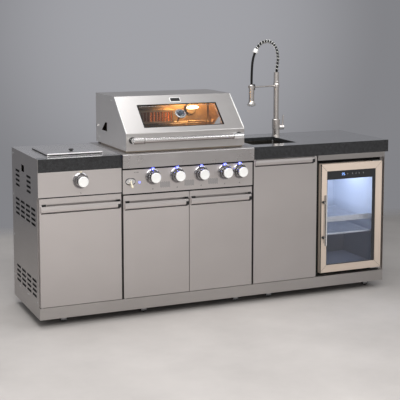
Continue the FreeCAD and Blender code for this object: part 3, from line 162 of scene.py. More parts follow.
def bumped(mat, height, depth, edge):
    sockets = {"Strength": depth, "Distance": 0.0002, "Height": height, "Normal": edgeNormal(mat, edge)}
    wire(mat, addNode(mat, "Bump", sockets).outputs[0], "Normal")


def brushed(name, colour, roughness, grain, depth=0.12, edge=0.0008, metallic=1.0, foot=1.0):
    # Brushed metal: fine scratches along one direction, and slow cloudy changes of tone. With foot under 1
    # the tone falls off toward the foot of the piece: painted shade.
    mat = plainFinish(name, colour, metallic, roughness)
    scratches = noise(mat, grain, 4.0, 0.6)
    clouds = noise(mat, (2.3, 2.3, 3.1), 2.0)
    tone = tinted(mat, spread(mat, clouds, 0, 1), [c * 0.94 for c in colour], colour)
    if foot < 1:  # the tone falls off toward the foot of the piece
        tone = multiplied(mat, tone, spread(mat, alongAxis(mat, "Z"), foot, 1.0, 0.1, 0.62))
    wire(mat, tone, "Base Color")
    wire(mat, spread(mat, scratches, roughness - 0.05, roughness + 0.07), "Roughness")
    bumped(mat, scratches, depth, edge)
    return mat


def roundBar(name, light, dark, roughness, toward):
    # A polished round bar with painted light: pale where it turns toward one side (painted highlight), with
    # darker streaks away from it (painted shade).
    mat = plainFinish(name, light, 1.0, roughness)
    facing = alongWay(mat, addNode(mat, "NewGeometry").outputs["Normal"], toward)
    toned(mat, facing, dark, light, -0.35, 0.75)
    fine = noise(mat, (300.0,) * 3, 3.0)
    wire(mat, spread(mat, fine, roughness - 0.01, roughness + 0.02), "Roughness")
    wire(mat, edgeNormal(mat, 0.0004), "Normal")
    return mat


def satin(name, colour, metallic, roughness, grain=400.0, depth=0.1, edge=0.0004, **more):
    # A smooth surface with a fine even texture.
    mat = plainFinish(name, colour, metallic, roughness, **more)
    fine = noise(mat, (grain,) * 3, 2.0)
    slow = noise(mat, (9.0,) * 3, 2.0)
    toned(mat, slow, [c * 0.92 for c in colour], colour)
    wire(mat, spread(mat, fine, max(roughness - 0.03, 0.01), roughness + 0.04), "Roughness")
    bumped(mat, fine, depth, edge)
    return mat


def polishedStone(name, lift, coat=0.0):
    # Near-black stone with fine grey crystals, ground flat and polished.
    stone = {"ground": (0.010, 0.0103, 0.011), "cloud": (0.024, 0.025, 0.027), "crystal": (0.13, 0.135, 0.14)}
    stone = {key: [c * lift for c in tone] for key, tone in stone.items()}
    mat = plainFinish(name, stone["ground"], 0, 0.13, IOR=1.5, Coat_Weight=coat, Coat_IOR=1.35,
                           Coat_Roughness=0.12)
    clouds = spread(mat, noise(mat, (60.0,) * 3, 4.0, 0.7), 0, 1)
    grains = addNode(mat, "TexVoronoi", {"Vector": stretched(mat, (420.0,) * 3), "Scale": 1.0})
    speck = spread(mat, grains.outputs["Distance"], 1, 0, 0.08, 0.3)
    sparse = spread(mat, noise(mat, (260.0,) * 3, 2.0), 0, 1, 0.52, 0.62)
    both = addNode(mat, "Math", {0: speck, 1: sparse}, operation="MULTIPLY").outputs[0]
    base = tinted(mat, clouds, stone["ground"], stone["cloud"])
    mixed = addNode(mat, "Mix", {"Factor": both, 6: base, 7: (*stone["crystal"], 1)}, data_type="RGBA")
    wire(mat, mixed.outputs[2], "Base Color")
    wire(mat, spread(mat, clouds, 0.10, 0.16, 0, 1), "Roughness")
    wire(mat, edgeNormal(mat, 0.0015), "Normal")
    return mat


def castIron():
    mat = plainFinish("castIron", (0.045, 0.045, 0.047), 0.3, 0.6)
    pits = noise(mat, (700.0,) * 3, 4.0, 0.7)
    toned(mat, pits, (0.03, 0.03, 0.03), (0.07, 0.068, 0.066))
    bump = addNode(mat, "Bump", {"Strength": 0.4, "Distance": 0.0005, "Height": pits})
    wire(mat, bump.outputs[0], "Normal")
    return mat


def clearGlass(name, colour, roughness=0.02, bend=1.45):
    mat = plainFinish(name, colour, 0, roughness, Transmission_Weight=1.0, IOR=bend)
    smears = noise(mat, (7.0, 7.0, 3.0), 3.0)
    wire(mat, spread(mat, smears, roughness, roughness + 0.03), "Roughness")
    return mat


def glowing(name, colour, strength, grain=300.0):
    mat = plainFinish(name, colour, 0, 0.4, Emission_Color=(*colour, 1), Emission_Strength=strength)
    toned(mat, noise(mat, (grain,) * 3, 2.0), [c * 0.8 for c in colour], colour, socket="Emission Color")
    return mat


def smokedSteelWithLampLight():
    # The heat-stained inside of the grill, with painted light from its lamp: light under the lamp at the
    # right, darker toward the rear burner and the left end.
    mat = satin("steelSmokedLampLit", (0.42, 0.34, 0.26), 1.0, 0.34, 40.0)
    toned(mat, alongAxis(mat, "X"), (0.10, 0.085, 0.075), (0.46, 0.36, 0.27), -0.25, -0.07)
    return mat


def shadedLiner():
    # The fridge's white liner, darker in its lower half.
    mat = satin("whiteLiner", (0.72, 0.76, 0.80), 0, 0.38, 200.0, 0.05)
    toned(mat, alongAxis(mat, "Z"), (0.16, 0.165, 0.19), (0.72, 0.75, 0.80), 0.34, 0.50)
    return mat


# One stainless steel in several tones. The front steel's tone falls off toward its foot: painted shade. The
# cabinet steel is a darker copy for the cabinet bodies, painted shade on their sides. The hood side steel is
# a lighter copy for the hood's side plates, and the tray steel is a lighter copy for the side burner's tray
# and lid, the warming rack and the rear bars: painted light. The bowl steel is a dark copy for the sink bowl:
# painted shade in its hollow.
steel = {
    "front": brushed("steelFront", (0.67, 0.635, 0.625), 0.36, (5, 5, 1500), foot=0.76),
    "cabinet": brushed("steelCabinetShaded", (0.44, 0.42, 0.41), 0.38, (5, 5, 1500)),
    "hood": brushed("steelHood", (0.63, 0.61, 0.60), 0.33, (5, 900, 900)),
    "hoodSideLit": brushed("steelHoodSideLit", (0.84, 0.82, 0.80), 0.40, (5, 5, 1500)),
    "top": brushed("steelTop", (0.62, 0.60, 0.60), 0.30, (5, 1500, 5)),
    "tray": brushed("steelTrayLit", (0.92, 0.91, 0.92), 0.30, (5, 1500, 5)),
    "bowl": brushed("steelBowlShaded", (0.15, 0.14, 0.125), 0.30, (700, 5, 5), 0.08),
    "bar": roundBar("steelBar", (0.90, 0.88, 0.87), (0.30, 0.27, 0.26), 0.17, (0, -0.35, 0.94)),
    "tap": roundBar("steelTap", (0.82, 0.775, 0.745), (0.34, 0.325, 0.31), 0.22, (-0.20, -0.98, 0)),
    "pin": satin("steelPin", (0.5, 0.5, 0.5), 1.0, 0.32),
    "heat": satin("steelHeat", (0.42, 0.36, 0.30), 1.0, 0.35, 60.0),
    "smokedLampLit": smokedSteelWithLampLight(),
}
chrome = {
    "bezel": satin("chromeBezel", (0.34, 0.33, 0.34), 1.0, 0.08, 300.0, 0.03, 0.0005),
    "knob": satin("chromeKnob", (0.46, 0.45, 0.46), 1.0, 0.12, 500.0, 0.05, 0.0006),
    "bright": satin("chromeBright", (0.93, 0.93, 0.93), 0.9, 0.16, 300.0, 0.03, 0.0005),
    "face": satin("knobFace", (0.97, 0.97, 0.96), 0.2, 0.34, 500.0, 0.05, 0.0006),
    "spring": satin("chromeSpring", (0.90, 0.90, 0.88), 0.8, 0.15, 300.0, 0.03, 0.0002),
    "wire": satin("chromeWire", (0.86, 0.88, 0.92), 0.5, 0.25, 300.0, 0.03, 0.0003),
}
# The fridge frame's tone falls off toward its foot: painted shade.
aluminium = brushed("aluminiumFrame", (0.79, 0.665, 0.565), 0.38, (5, 5, 1500), 0.1, 0.0008, 0.35, 0.72)
blackPlastic = satin("blackPlastic", (0.014, 0.014, 0.015), 0, 0.42, 600.0, 0.2, Specular_IOR_Level=0.3)
blackRubber = satin("blackRubber", (0.006, 0.006, 0.006), 0, 0.62, 500.0, 0.3, Specular_IOR_Level=0.2)
greyPlastic = satin("greyPlastic", (0.35, 0.35, 0.36), 0, 0.45)
creamPlastic = satin("creamPlastic", (0.80, 0.74, 0.58), 0, 0.25, 300.0, 0.05)
whiteLiner = shadedLiner()
zinc = satin("zincPlate", (0.55, 0.55, 0.56), 1.0, 0.32, 120.0, 0.1)
stoneFinish = polishedStone("polishedStone", 1.45)
# The stone's top face is a much lighter copy of the stone with a coat: painted light and reflection.
stoneTopLit = polishedStone("polishedStoneTopLit", 6.6, 1.0)
ironFinish = castIron()
hoodGlass = clearGlass("hoodGlass", (0.96, 0.92, 0.86))
fridgeGlass = clearGlass("fridgeGlass", (0.90, 0.92, 0.96))
dialFace = satin("dialFace", (0.055, 0.068, 0.09), 0.2, 0.3, 300.0, 0.02)
palePrint = satin("palePrint", (0.75, 0.78, 0.80), 0, 0.4)
darkPrint = satin("darkPrint", (0.05, 0.05, 0.055), 0, 0.5)
greyPrint = satin("greyPrint", (0.26, 0.26, 0.27), 0.3, 0.5)
blackGlass = satin("blackGlass", (0.022, 0.023, 0.025), 0, 0.08, 80.0, 0.01)
blueLamp = glowing("blueLamp", (0.25, 0.28, 1.0), 1.2)
displayBlue = glowing("displayBlue", (0.25, 0.45, 1.0), 2.5)
warmLamp = glowing("warmLamp", (1.0, 0.84, 0.58), 6.0)
fridgeLight = glowing("fridgeLight", (0.78, 0.86, 1.0), 5.0)
print("finishes made")


# Finishes of the pieces that come from the frame

nodeFinish = {}
for finish, names in (
        (steel["cabinet"], "left_cabinet grill_cabinet sink_cabinet"),
        (steel["front"], "control_panels left_door grill_door_left grill_door_right sink_door"),
        (steel["tap"], "tap_base tap_column tap_lever spray_head"),
        (steel["tray"], "side_burner_tray side_burner_lid"), (steel["heat"], "gas_train rear_burner"),
        (steel["top"], "firebox"), (steel["bowl"], "sink_bowl"), (steel["hood"], "hood_shell"),
        (steel["bar"], "hood_handle"), (steel["pin"], "hinge_pins"), (stoneFinish, "granite_tops"),
        (chrome["bezel"], "control_bezels"), (chrome["bright"], "hood_thermometer"),
        (chrome["spring"], "tap_spring"), (chrome["wire"], "fridge_shelves"), (whiteLiner, "fridge_case"),
        (ironFinish, "cooking_grates side_burner"), (hoodGlass, "hood_window"), (aluminium, "fridge_door"),
        (fridgeGlass, "fridge_door_glass"), (creamPlastic, "light_switch"), (blackRubber, "tap_hose")):
    nodeFinish.update(dict.fromkeys(names.split(), finish))
repeatedFinish = {"knob_": chrome["knob"], "caster_fork": zinc, "caster_wheel": blackRubber}
for name, node in cad.items():
    node.data.materials.clear()
    repeated = [finish for start, finish in repeatedFinish.items() if name.startswith(start)]
    node.data.materials.append(repeated[0] if repeated else nodeFinish[name])


def paint(name, mat, low, high):
    # Gives a finish to the faces of a frame piece that lie wholly between two corners.
    mesh = cad[name].data
    if mat.name not in [m.name for m in mesh.materials]:
        mesh.materials.append(mat)
    index = [m.name for m in mesh.materials].index(mat.name)
    slack = 0.00012
    for face in mesh.polygons:
        corners = [mesh.vertices[v].co for v in face.vertices]
        if all(low[k] - slack <= c[k] <= high[k] + slack for c in corners for k in range(3)):
            face.material_index = index


def paintSide(name, mat, axis, upper, skin=0.0001):
    # The outermost faces at the lower or the upper end of an axis.
    low, high = [list(corner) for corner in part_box(name)]
    if upper:
        low[axis] = high[axis] - skin
    else:
        high[axis] = low[axis] + skin
    paint(name, mat, low, high)


def paintSpot(name, mat, centre, half):
    # The faces round a point on a front, through the whole depth of the piece.
    low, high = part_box(name)
    paint(name, mat, (centre.x - half, low.y, centre.z - half),
          (centre.x + half, high.y, centre.z + half))


# The control panels' left wrap gets the darker cabinet steel: painted shade, as on the cabinets' sides.
paintSide("control_panels", steel["cabinet"], 0, False, 0.0002)
# The stone's top face gets the lighter stone: painted light.
paintSide("granite_tops", stoneTopLit, 2, True)


# Mesh helpers

def polar(radius, angle):
    return radius * math.cos(angle), radius * math.sin(angle)


def ringOf(bm, place, outline, height):
    return [bm.verts.new(place @ Vector((x, y, height))) for x, y in outline]


def plate(bm, place, outline, low, high, finish=0):
    # An outline in the place's XY plane, from low to high along its Z.
    lower, upper = ringOf(bm, place, outline, low), ringOf(bm, place, outline, high)
    faces = [bm.faces.new(list(reversed(lower))), bm.faces.new(upper)]
    count = len(outline)
    for k in range(count):
        faces.append(bm.faces.new((lower[k], lower[(k + 1) % count], upper[(k + 1) % count], upper[k])))
    for face in faces:
        face.material_index = finish


def rectangle(x0, x1, y0, y1):
    return [(x0, y0), (x1, y0), (x1, y1), (x0, y1)]


def brick(bm, low, high, finish=0):
    plate(bm, Matrix.Identity(4), rectangle(low[0], high[0], low[1], high[1]), low[2], high[2], finish)


def turnedPart(bm, place, profile, steps=32, finish=0):
    # A profile of (radius, height) turned round the place's Z axis. Radius 0 closes an end.
    rings = []
    for radius, height in profile:
        circle = [polar(radius, 2 * math.pi * k / steps) for k in range(steps if radius else 1)]
        rings.append(ringOf(bm, place, circle, height))
    for lower, upper in zip(rings, rings[1:]):
        for k in range(steps):
            j = (k + 1) % steps
            corners = [lower[k % len(lower)], lower[j % len(lower)]]
            corners += [upper[j % len(upper)], upper[k % len(upper)]]
            unique = [v for i, v in enumerate(corners) if v not in corners[:i]]
            face = bm.faces.new(unique)
            face.material_index = finish
            face.smooth = True


def bridge(bm, rings, smooth=False):
    # Faces between each closed ring of points and the next.
    for a, b in zip(rings, rings[1:]):
        for k in range(len(a)):
            j = (k + 1) % len(a)
            bm.faces.new((a[k], a[j], b[j], b[k])).smooth = smooth


def roundedOutline(width, height, radius, steps=5):
    points = []
    for cx, cy, start in ((1, 1, 0), (-1, 1, 90), (-1, -1, 180), (1, -1, 270)):
        for k in range(steps + 1):
            x, y = polar(radius, math.radians(start + 90 * k / steps))
            points.append((cx * (width / 2 - radius) + x, cy * (height / 2 - radius) + y))
    return points


def arcBand(inner, outer, start, end, steps=12):
    angles = [math.radians(start + (end - start) * k / steps) for k in range(steps + 1)]
    return [polar(outer, a) for a in angles] + [polar(inner, a) for a in reversed(angles)]


def linked(name, data):
    thing = bpy.data.objects.new(name, data)
    bpy.context.scene.collection.objects.link(thing)
    return thing


def fromMesh(name, bm, finishes):
    data = bpy.data.meshes.new(name)
    bm.to_mesh(data)
    bm.free()
    for finish in finishes:
        data.materials.append(finish)
    return linked(name, data)


def makePiece(name, bm, finishes, body, rounding=0.0):
    bmesh.ops.recalc_face_normals(bm, faces=bm.faces)
    piece = fromMesh(name, bm, finishes)
    if rounding:
        bevel = piece.modifiers.new("rounding", "BEVEL")
        bevel.width = rounding
        bevel.segments = 2
        bevel.limit_method = "ANGLE"
    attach(piece, body)
    return piece


def makeLamp(name, kind, place, power, colour, aim=None, **settings):
    data = bpy.data.lights.new(name, kind)
    data.energy = power
    data.color = colour
    for key, value in settings.items():
        setattr(data, key, value)
    lamp = linked(name, data)
    lamp.location = place
    if aim is not None:
        lamp.rotation_euler = (Vector(aim) - Vector(place)).to_track_quat("-Z", "Y").to_euler()
    return lamp


# Camera at the photograph's place

camera = {"place": (-2.4950, -5.6260, 1.7112), "turn": 23.520, "down": 6.48, "lens": 93.447, "shift": -0.175,
          "sensor": 36.0, "reach": 60.0}


def makeCamera():
    data = bpy.data.cameras.new("camera")
    data.sensor_width = camera["sensor"]
    data.lens = camera["lens"]
    data.shift_y = camera["shift"]
    data.clip_end = camera["reach"]
    viewer = linked("camera", data)
    viewer.location = camera["place"]
    viewer.rotation_euler = (math.radians(90 - camera["down"]), 0, math.radians(-camera["turn"]))
    bpy.context.scene.camera = viewer


makeCamera()
bpy.context.scene.view_settings.view_transform = "Standard"
print("camera set")


# Studio: a pale floor that ends softly behind the row, soft lamps, and a room seen as a plain glow

studio = {
    "floorNear": (0.61, 0.578, 0.558), "floorFar": (0.36, 0.345, 0.335), "half": 30.0,
    "edgeFrom": (-0.722, 2.282), "edgeTo": (2.537, 1.751), "edgeSoft": 0.22,
    "shadeFrom": -2.6, "shadeStop": 0.1,  # the floor darkens from here to just before its far edge
    "floorRight": 0.70, "rightFrom": 0.2, "rightTo": 1.7,
    "mottleScale": (1.6, 1.6, 1.6), "mottleDark": 0.88, "mottleLight": 1.06,
    "wallGlow": (0.3699, 0.9290, -0.008), "wallDark": 0.242, "wallLight": 0.385,
    "roomNear": 0.68, "roomFar": 0.38, "wallTint": (0.93, 0.935, 1.0), "roomTint": (1.0, 0.985, 0.97),
}
lamps = [
    # name, place, aim, size, power, colour
    ("keyLamp", (-1.4, -5.0, 4.2), (0.0, 0, 0.6), 3.0, 200.0, (1.0, 0.98, 0.95)),
    ("fillLamp", (3.8, -4.0, 4.3), (0, 0, 0.7), 3.0, 75.0, (0.95, 0.97, 1.0)),
    ("topLamp", (-0.9, 0.3, 5.0), (-0.3, 0, 0), 3.6, 105.0, (1.0, 1.0, 1.0)),
]


def floorPaint(way, across, edge):
    mat = plainFinish("studioPaint", studio["floorNear"], 0, 0.75)
    # Painted light on the floor: lighter at the front, painted shade toward the back and to the right. The
    # mottle is the floor's own.
    back = alongWay(mat, objectCoords(mat), (across.x, across.y, 0))
    sideways = alongWay(mat, objectCoords(mat), (way.x, way.y, 0))
    shade = spread(mat, back, 0, 1, studio["shadeFrom"], edge - studio["shadeStop"])
    mottle = spread(mat, noise(mat, studio["mottleScale"], 5.0, 0.62), studio["mottleDark"],
                    studio["mottleLight"])
    right = spread(mat, sideways, 1.0, studio["floorRight"], studio["rightFrom"], studio["rightTo"])
    tone = tinted(mat, shade, studio["floorNear"], studio["floorFar"])
    wire(mat, multiplied(mat, multiplied(mat, tone, right), mottle), "Base Color")
    fade = spread(mat, back, 0, 1, edge - studio["edgeSoft"], edge + studio["edgeSoft"])
    clear = addNode(mat, "BsdfTransparent").outputs[0]
    soft = addNode(mat, "MixShader", {0: fade, 1: shaderOf(mat).outputs[0], 2: clear})
    output = mat.node_tree.nodes["Material Output"]
    mat.node_tree.links.new(soft.outputs[0], output.inputs["Surface"])
    return mat


def makeFloor():
    start, end = Vector(studio["edgeFrom"]), Vector(studio["edgeTo"])
    way = (end - start).normalized()
    across = Vector((-way.y, way.x))
    half, reach = studio["half"], studio["edgeSoft"]
    corners = [start - way * half + across * reach, start + way * half + across * reach,
               start + way * half - across * half, start - way * half - across * half]
    bm = bmesh.new()
    face = bm.faces.new([bm.verts.new((c.x, c.y, 0.0)) for c in corners])
    face.normal_update()
    fromMesh("floor", bm, [floorPaint(way, across, across.dot(start))])


def makeRoom():
    # A grey wall with a lighter patch behind the row, and a paler room in front, dimmer to the right.
    world = bpy.data.worlds.new("studioRoom")
    world.use_nodes = True
    bpy.context.scene.world = world
    background = world.node_tree.nodes["Background"]
    coords = addNode(world, "TexCoord").outputs["Generated"]
    parts = addNode(world, "SeparateXYZ", {0: coords})
    patch = alongWay(world, coords, studio["wallGlow"])

    def maths(kind, a, b):
        return addNode(world, "Math", {0: a, 1: b}, operation=kind).outputs[0]

    wall = spread(world, patch, studio["wallDark"], studio["wallLight"], 0.978, 1.0, "SMOOTHSTEP")
    side = spread(world, parts.outputs["X"], studio["roomNear"], studio["roomFar"], 0.1, 0.75, "SMOOTHSTEP")
    front = spread(world, parts.outputs["Y"], 0.0, 1.0, 0.55, -0.35, "SMOOTHSTEP")
    behind = maths("MULTIPLY", wall, maths("SUBTRACT", 1.0, front))
    level = maths("ADD", behind, maths("MULTIPLY", side, front))
    tint = tinted(world, front, studio["wallTint"], studio["roomTint"])
    world.node_tree.links.new(tint, background.inputs["Color"])
    world.node_tree.links.new(level, background.inputs["Strength"])


makeFloor()
for name, place, aim, size, power, colour in lamps:
    makeLamp(name, "AREA", place, power, colour, aim, shape="SQUARE", size=size)
makeRoom()
print("studio made")


# Hood: plain plate, edge beads and window line as painted highlights, gasket, dial, lamp and glow

hood = {"foldY": 38.0, "foldZ": 1040.0, "run": 204.0, "rise": 192.0, "middleX": 877.5, "width": 727.0,
        "slopeLength": 280.1, "windowWidth": 485.0, "windowLow": 40.0, "windowHigh": 204.0}


def onSlope(along, lift=0.0):
    way = Vector((0, hood["run"], hood["rise"])).normalized()
    out = Vector((0, -way.z, way.y))
    start = bench(hood["middleX"], hood["foldY"], hood["foldZ"])
    return standing(start + way * along / 1000 + out * lift, out, way)


def slopeBar(bm, x0, x1, low, high, under, over, finish=0):
    # A bar on the slope: across, along the slope, and through its face, in millimetres.
    outline = rectangle(x0 / 1000, x1 / 1000, low / 1000, high / 1000)
    plate(bm, onSlope(0), outline, under / 1000, over / 1000, finish)


badge = {"along": 241.0, "width": 0.066, "height": 0.034, "corner": 0.006, "rim": 0.004, "innerCorner": 0.003,
         "thick": 0.0012, "full": 0.0018}


def makeBadgePlate():
    place = onSlope(badge["along"])
    bm = bmesh.new()
    w, h, rim = badge["width"], badge["height"], 2 * badge["rim"]
    plate(bm, place, roundedOutline(w, h, badge["corner"]), 0.0, badge["thick"])
    inlay = roundedOutline(w - rim, h - rim, badge["innerCorner"])
    plate(bm, place, inlay, badge["thick"], badge["full"], 1)
    makePiece("hood_plain_plate", bm, [chrome["face"], blackPlastic], "hood", 0.0003)


beads = {"inset": 1.6, "radius": 0.0027, "rounding": 0.001, "clearLow": 2, "clearHigh": 6}
gasket = {"left": 3.0, "right": 6.5, "top": 6.0, "bottom": 2.5, "lap": 1.5, "thick": 0.8}
windowHighlight = {"inset": 7.0, "high": 1.6, "wide": 2, "under": -1.45, "over": -0.9}


def makeHoodTrim():
    # Painted highlights: a rolled bright edge at each side of the slope, and a bright line along the window's
    # top and right sides, inside a dark gasket round the window.
    bm = bmesh.new()
    for side in (-1, 1):
        edge = Vector((side * (hood["width"] / 2 - beads["inset"]) / 1000, 0, 0))
        start = onSlope(beads["clearLow"]) @ edge
        run = onSlope(hood["slopeLength"] - beads["clearHigh"]) @ edge - start
        radius, tip = beads["radius"], beads["rounding"]
        turnedPart(bm, standing(start, run, Vector((1, 0, 0))),
                   [(0, 0), (radius, tip), (radius, run.length - tip), (0, run.length)], 12)
    makePiece("hood_edge_highlights", bm, [chrome["face"]], "hood")
    x, low, high, lap = hood["windowWidth"] / 2, hood["windowLow"], hood["windowHigh"], gasket["lap"]
    left, right = -x - gasket["left"], x + gasket["right"]
    bm = bmesh.new()
    for bar in ((left, right, high - lap, high + gasket["top"]),
                (left, right, low - gasket["bottom"], low + lap),
                (left, -x + lap, low + lap, high - lap), (x - lap, right, low + lap, high - lap)):
        slopeBar(bm, *bar, 0, gasket["thick"])
    x, low, high = x - windowHighlight["inset"], low + windowHighlight["inset"], high - windowHighlight["inset"]
    for bar in ((-x, x, high - windowHighlight["high"], high), (x - windowHighlight["wide"], x, low, high)):
        slopeBar(bm, *bar, windowHighlight["under"], windowHighlight["over"], 1)
    makePiece("hood_window_gasket_and_highlight", bm, [blackRubber, chrome["bright"]], "hood")


dial = {
    "along": 129.0, "lift": 0.0082, "radius": 0.0245, "bore": 0.0022, "paper": 0.0002,
    "ink": (0.0002, 0.00035), "ticks": 30, "tickStart": 225, "tickSweep": 270, "tickEnd": 0.002,
    "longTick": (0.0035, 0.0005), "shortTick": (0.0018, 0.00025), "band": (0.0022, 0.0012),
    "glass": [(0, 0.0023), (0.012, 0.0023), (0.0258, 0.0022), (0.0258, 0.0028), (0.012, 0.0034),
              (0, 0.0036)],
}


def makeDial():
    place = onSlope(dial["along"], dial["lift"])
    radius = dial["radius"]
    bm = bmesh.new()
    plate(bm, place, arcBand(dial["bore"], radius, 0, 359.9, 48), 0.0, dial["paper"])
    end = radius - dial["tickEnd"]
    for k in range(dial["ticks"] + 1):
        long, wide = dial["longTick"] if k % 5 == 0 else dial["shortTick"]
        angle = math.radians(dial["tickStart"] - dial["tickSweep"] * k / dial["ticks"])
        turn = place @ Matrix.Rotation(angle, 4, "Z")
        plate(bm, turn, rectangle(end - long, end, -wide, wide), *dial["ink"], 1)
    inner, outer = [radius - inset for inset in dial["band"]]
    plate(bm, place, arcBand(inner, outer, -40, 40, 12), *dial["ink"], 2)
    plate(bm, place, arcBand(inner, outer, 45, 225, 24), *dial["ink"], 1)
    redPrint = satin("redPrint", (0.45, 0.03, 0.02), 0, 0.4)
    makePiece("hood_dial", bm, [dialFace, palePrint, redPrint], "hood")
    bm = bmesh.new()
    turnedPart(bm, place, dial["glass"], 40)
    cover = clearGlass("dialGlass", (0.97, 0.98, 1.0), bend=1.2)
    makePiece("hood_dial_glass", bm, [cover], "hood")


hoodLamp = {
    "place": (hood["middleX"] + 246, 530.3, 1124), "stretch": (1.3, 0.36, 1, 1),
    "lens": [(0, 0), (0.031, 0.0), (0.031, 0.0015), (0.022, 0.0035), (0.010, 0.005), (0, 0.0055)],
    "glowFrom": (1150, 285, 1208), "glowTo": (1130, 556, 1070), "glowWide": 0.22, "glowHigh": 0.05,
    "glowPower": 1.25, "glowSpread": 1.75, "glowColour": (1.0, 0.52, 0.17),
}
burner = {"left": 772.5, "right": 982.5, "low": 1046.0, "high": 1108.0, "face": (514.0, 516.0),
          "columns": 44, "rows": 12, "cell": 0.0017, "cellHigh": 0.0006, "hotFrom": 838, "hotStrip": 9.6}


def makeHoodLight():
    # A wide lamp behind the glass, and the rear burner's ceramic face with its hot strips between the bars.
    bm = bmesh.new()
    place = facingFront(*hoodLamp["place"]) @ Matrix.Diagonal(hoodLamp["stretch"])
    turnedPart(bm, place, hoodLamp["lens"], 40)
    makePiece("hood_lamp_lens", bm, [warmLamp], "island")
    bm = bmesh.new()
    left, right, low, high = burner["left"], burner["right"], burner["low"], burner["high"]
    brick(bm, *ends((left, right), burner["face"], (low, high)))
    pitch, rowPitch = (right - left) / burner["columns"], (high - low) / burner["rows"]
    hexagon = [polar(burner["cell"], math.pi * k / 3) for k in range(6)]
    for column in range(burner["columns"]):
        for row in range(burner["rows"]):
            x = left + (column + 0.25 + 0.5 * (row % 2)) * pitch
            z = low + (row + 0.5) * rowPitch
            past = x - burner["hotFrom"]
            hot = 1 if past > 0 and int(past / burner["hotStrip"]) % 2 == 0 else 2
            plate(bm, facingFront(x, burner["face"][0], z), hexagon, 0.0, burner["cellHigh"], hot)
    ceramic = [satin("ceramicTile", (0.11, 0.055, 0.03), 0, 0.7, 200.0, 0.2),
               glowing("ceramicHot", (1.0, 0.26, 0.06), 0.85, 60.0),
               glowing("ceramicWarm", (0.30, 0.08, 0.02), 0.03, 60.0)]
    makePiece("rear_burner_ceramic", bm, ceramic, "island")
    lamp = makeLamp("hoodGlow", "AREA", bench(*hoodLamp["glowFrom"]), hoodLamp["glowPower"],
                    hoodLamp["glowColour"], bench(*hoodLamp["glowTo"]), shape="RECTANGLE",
                    size=hoodLamp["glowWide"], size_y=hoodLamp["glowHigh"], spread=hoodLamp["glowSpread"])
    lamp.visible_camera = False


lip = {
    "sheets": (((517, 1238), (61, 62.5), (932.02, 956)), ((517, 1238), (62.5, 69), (932.02, 933.6)),
               ((516.6, 519.2), (70, 500), (932.02, 940.6)), ((1235.8, 1238.4), (70, 500), (932.02, 940.6))),
    "bars": ((1037, 0.0030), (1026, 0.0018)), "barLeft": 905, "barBack": 550.5, "barLength": 0.322,
}


def makeRestLip():
    # A folded lip on the top rail keeps the light in under the hood, and two bars shine at the back.
    bm = bmesh.new()
    for sheet in lip["sheets"]:
        brick(bm, *ends(*sheet))
    length = lip["barLength"]
    for height, radius in lip["bars"]:
        turnedPart(bm, standing(bench(lip["barLeft"], lip["barBack"], height), (1, 0, 0)),
                   [(0, 0), (radius, 0), (radius, length), (0, length)], 16, 1)
    makePiece("hood_rest_lip", bm, [steel["heat"], steel["tray"]], "island", 0.0004)


handle = {"leftPost": 0.066, "rightPost": 0.072, "washers": 0.0072}
inside = {"centre": (877.5, 330, 1080), "firebox": ((519.9, 1235.1), (69.9, 555), (761.9, 1165.1)),
          "warmingRack": ((520, 1235), (280, 556), (975, 1010))}


def paintHood():
    # Both side plates of the hood get the lighter side steel: painted light.
    for upper in (False, True):
        paintSide("hood_shell", steel["hoodSideLit"], 0, upper)
    # The faces of the shell that look toward its inside are smoked, with painted lamp light.
    mesh = cad["hood_shell"].data
    mesh.materials.append(steel["smokedLampLit"])
    for face in mesh.polygons:
        if (face.center - bench(*inside["centre"])).dot(face.normal) < 0:
            face.material_index = len(mesh.materials) - 1
    paint("firebox", steel["smokedLampLit"], *ends(*inside["firebox"]))
    # The warming rack gets the lighter tray steel: a painted highlight.
    paint("cooking_grates", steel["tray"], *ends(*inside["warmingRack"]))
    paintSide("hood_handle", chrome["bright"], 0, False, handle["leftPost"])
    paintSide("hood_handle", chrome["bright"], 0, True, handle["rightPost"])
    paintSide("hood_handle", blackPlastic, 1, True, handle["washers"])


makeBadgePlate()
makeHoodTrim()
makeDial()
makeHoodLight()
makeRestLip()
paintHood()
print("hood dressed")


# Controls: lamps over the knobs, printed marks, light switch

controls = {"knobs": 6, "ink": (0.0, 0.0002), "lampHalf": 0.008, "lampLow": 0.0440, "lampHigh": 0.0512,
            "spillPower": 0.035, "spillColour": (0.10, 0.12, 1.0), "spillSize": 0.003, "spillUp": 0.048,
            "spillOut": -14, "faceSize": (0.058, 0.0035, 0.058), "switchLamp": (577, 0, 771),
            "switchLampHalf": 0.0065, "switchPlate": ((496.9, 551.1), (-14.1, 0.1), (761.9, 794.1))}


def knobCentre(number):
    return middle("knob_" + str(number))


marks = {
    "drop": 0.0665,
    "arcs": ((0.0001, 0.0016, 0, 359, 12), (0.0030, 0.0038, 200, 340, 8), (0.0054, 0.0061, 215, 325, 8)),
    "legendX": 545.0, "legendZ": 828.0, "legendBars": (5, 3, 14), "legendGap": 3, "legendHigh": 0.0022,
    "switchPlace": (524, 0, 778), "switchWide": 0.060, "switchHigh": 0.038, "switchThick": 0.0008,
    "patchZ": 751.0, "patchBars": 15, "patchPitch": 4.0, "patchWide": 0.0021,
    "patchStep": 1.5, "patchHigh": (0.034, 0.030),
}


def onPanel(x, z):
    return standing(Vector((x, bench(0, 0, 0).y, z)), (0, -1, 0))


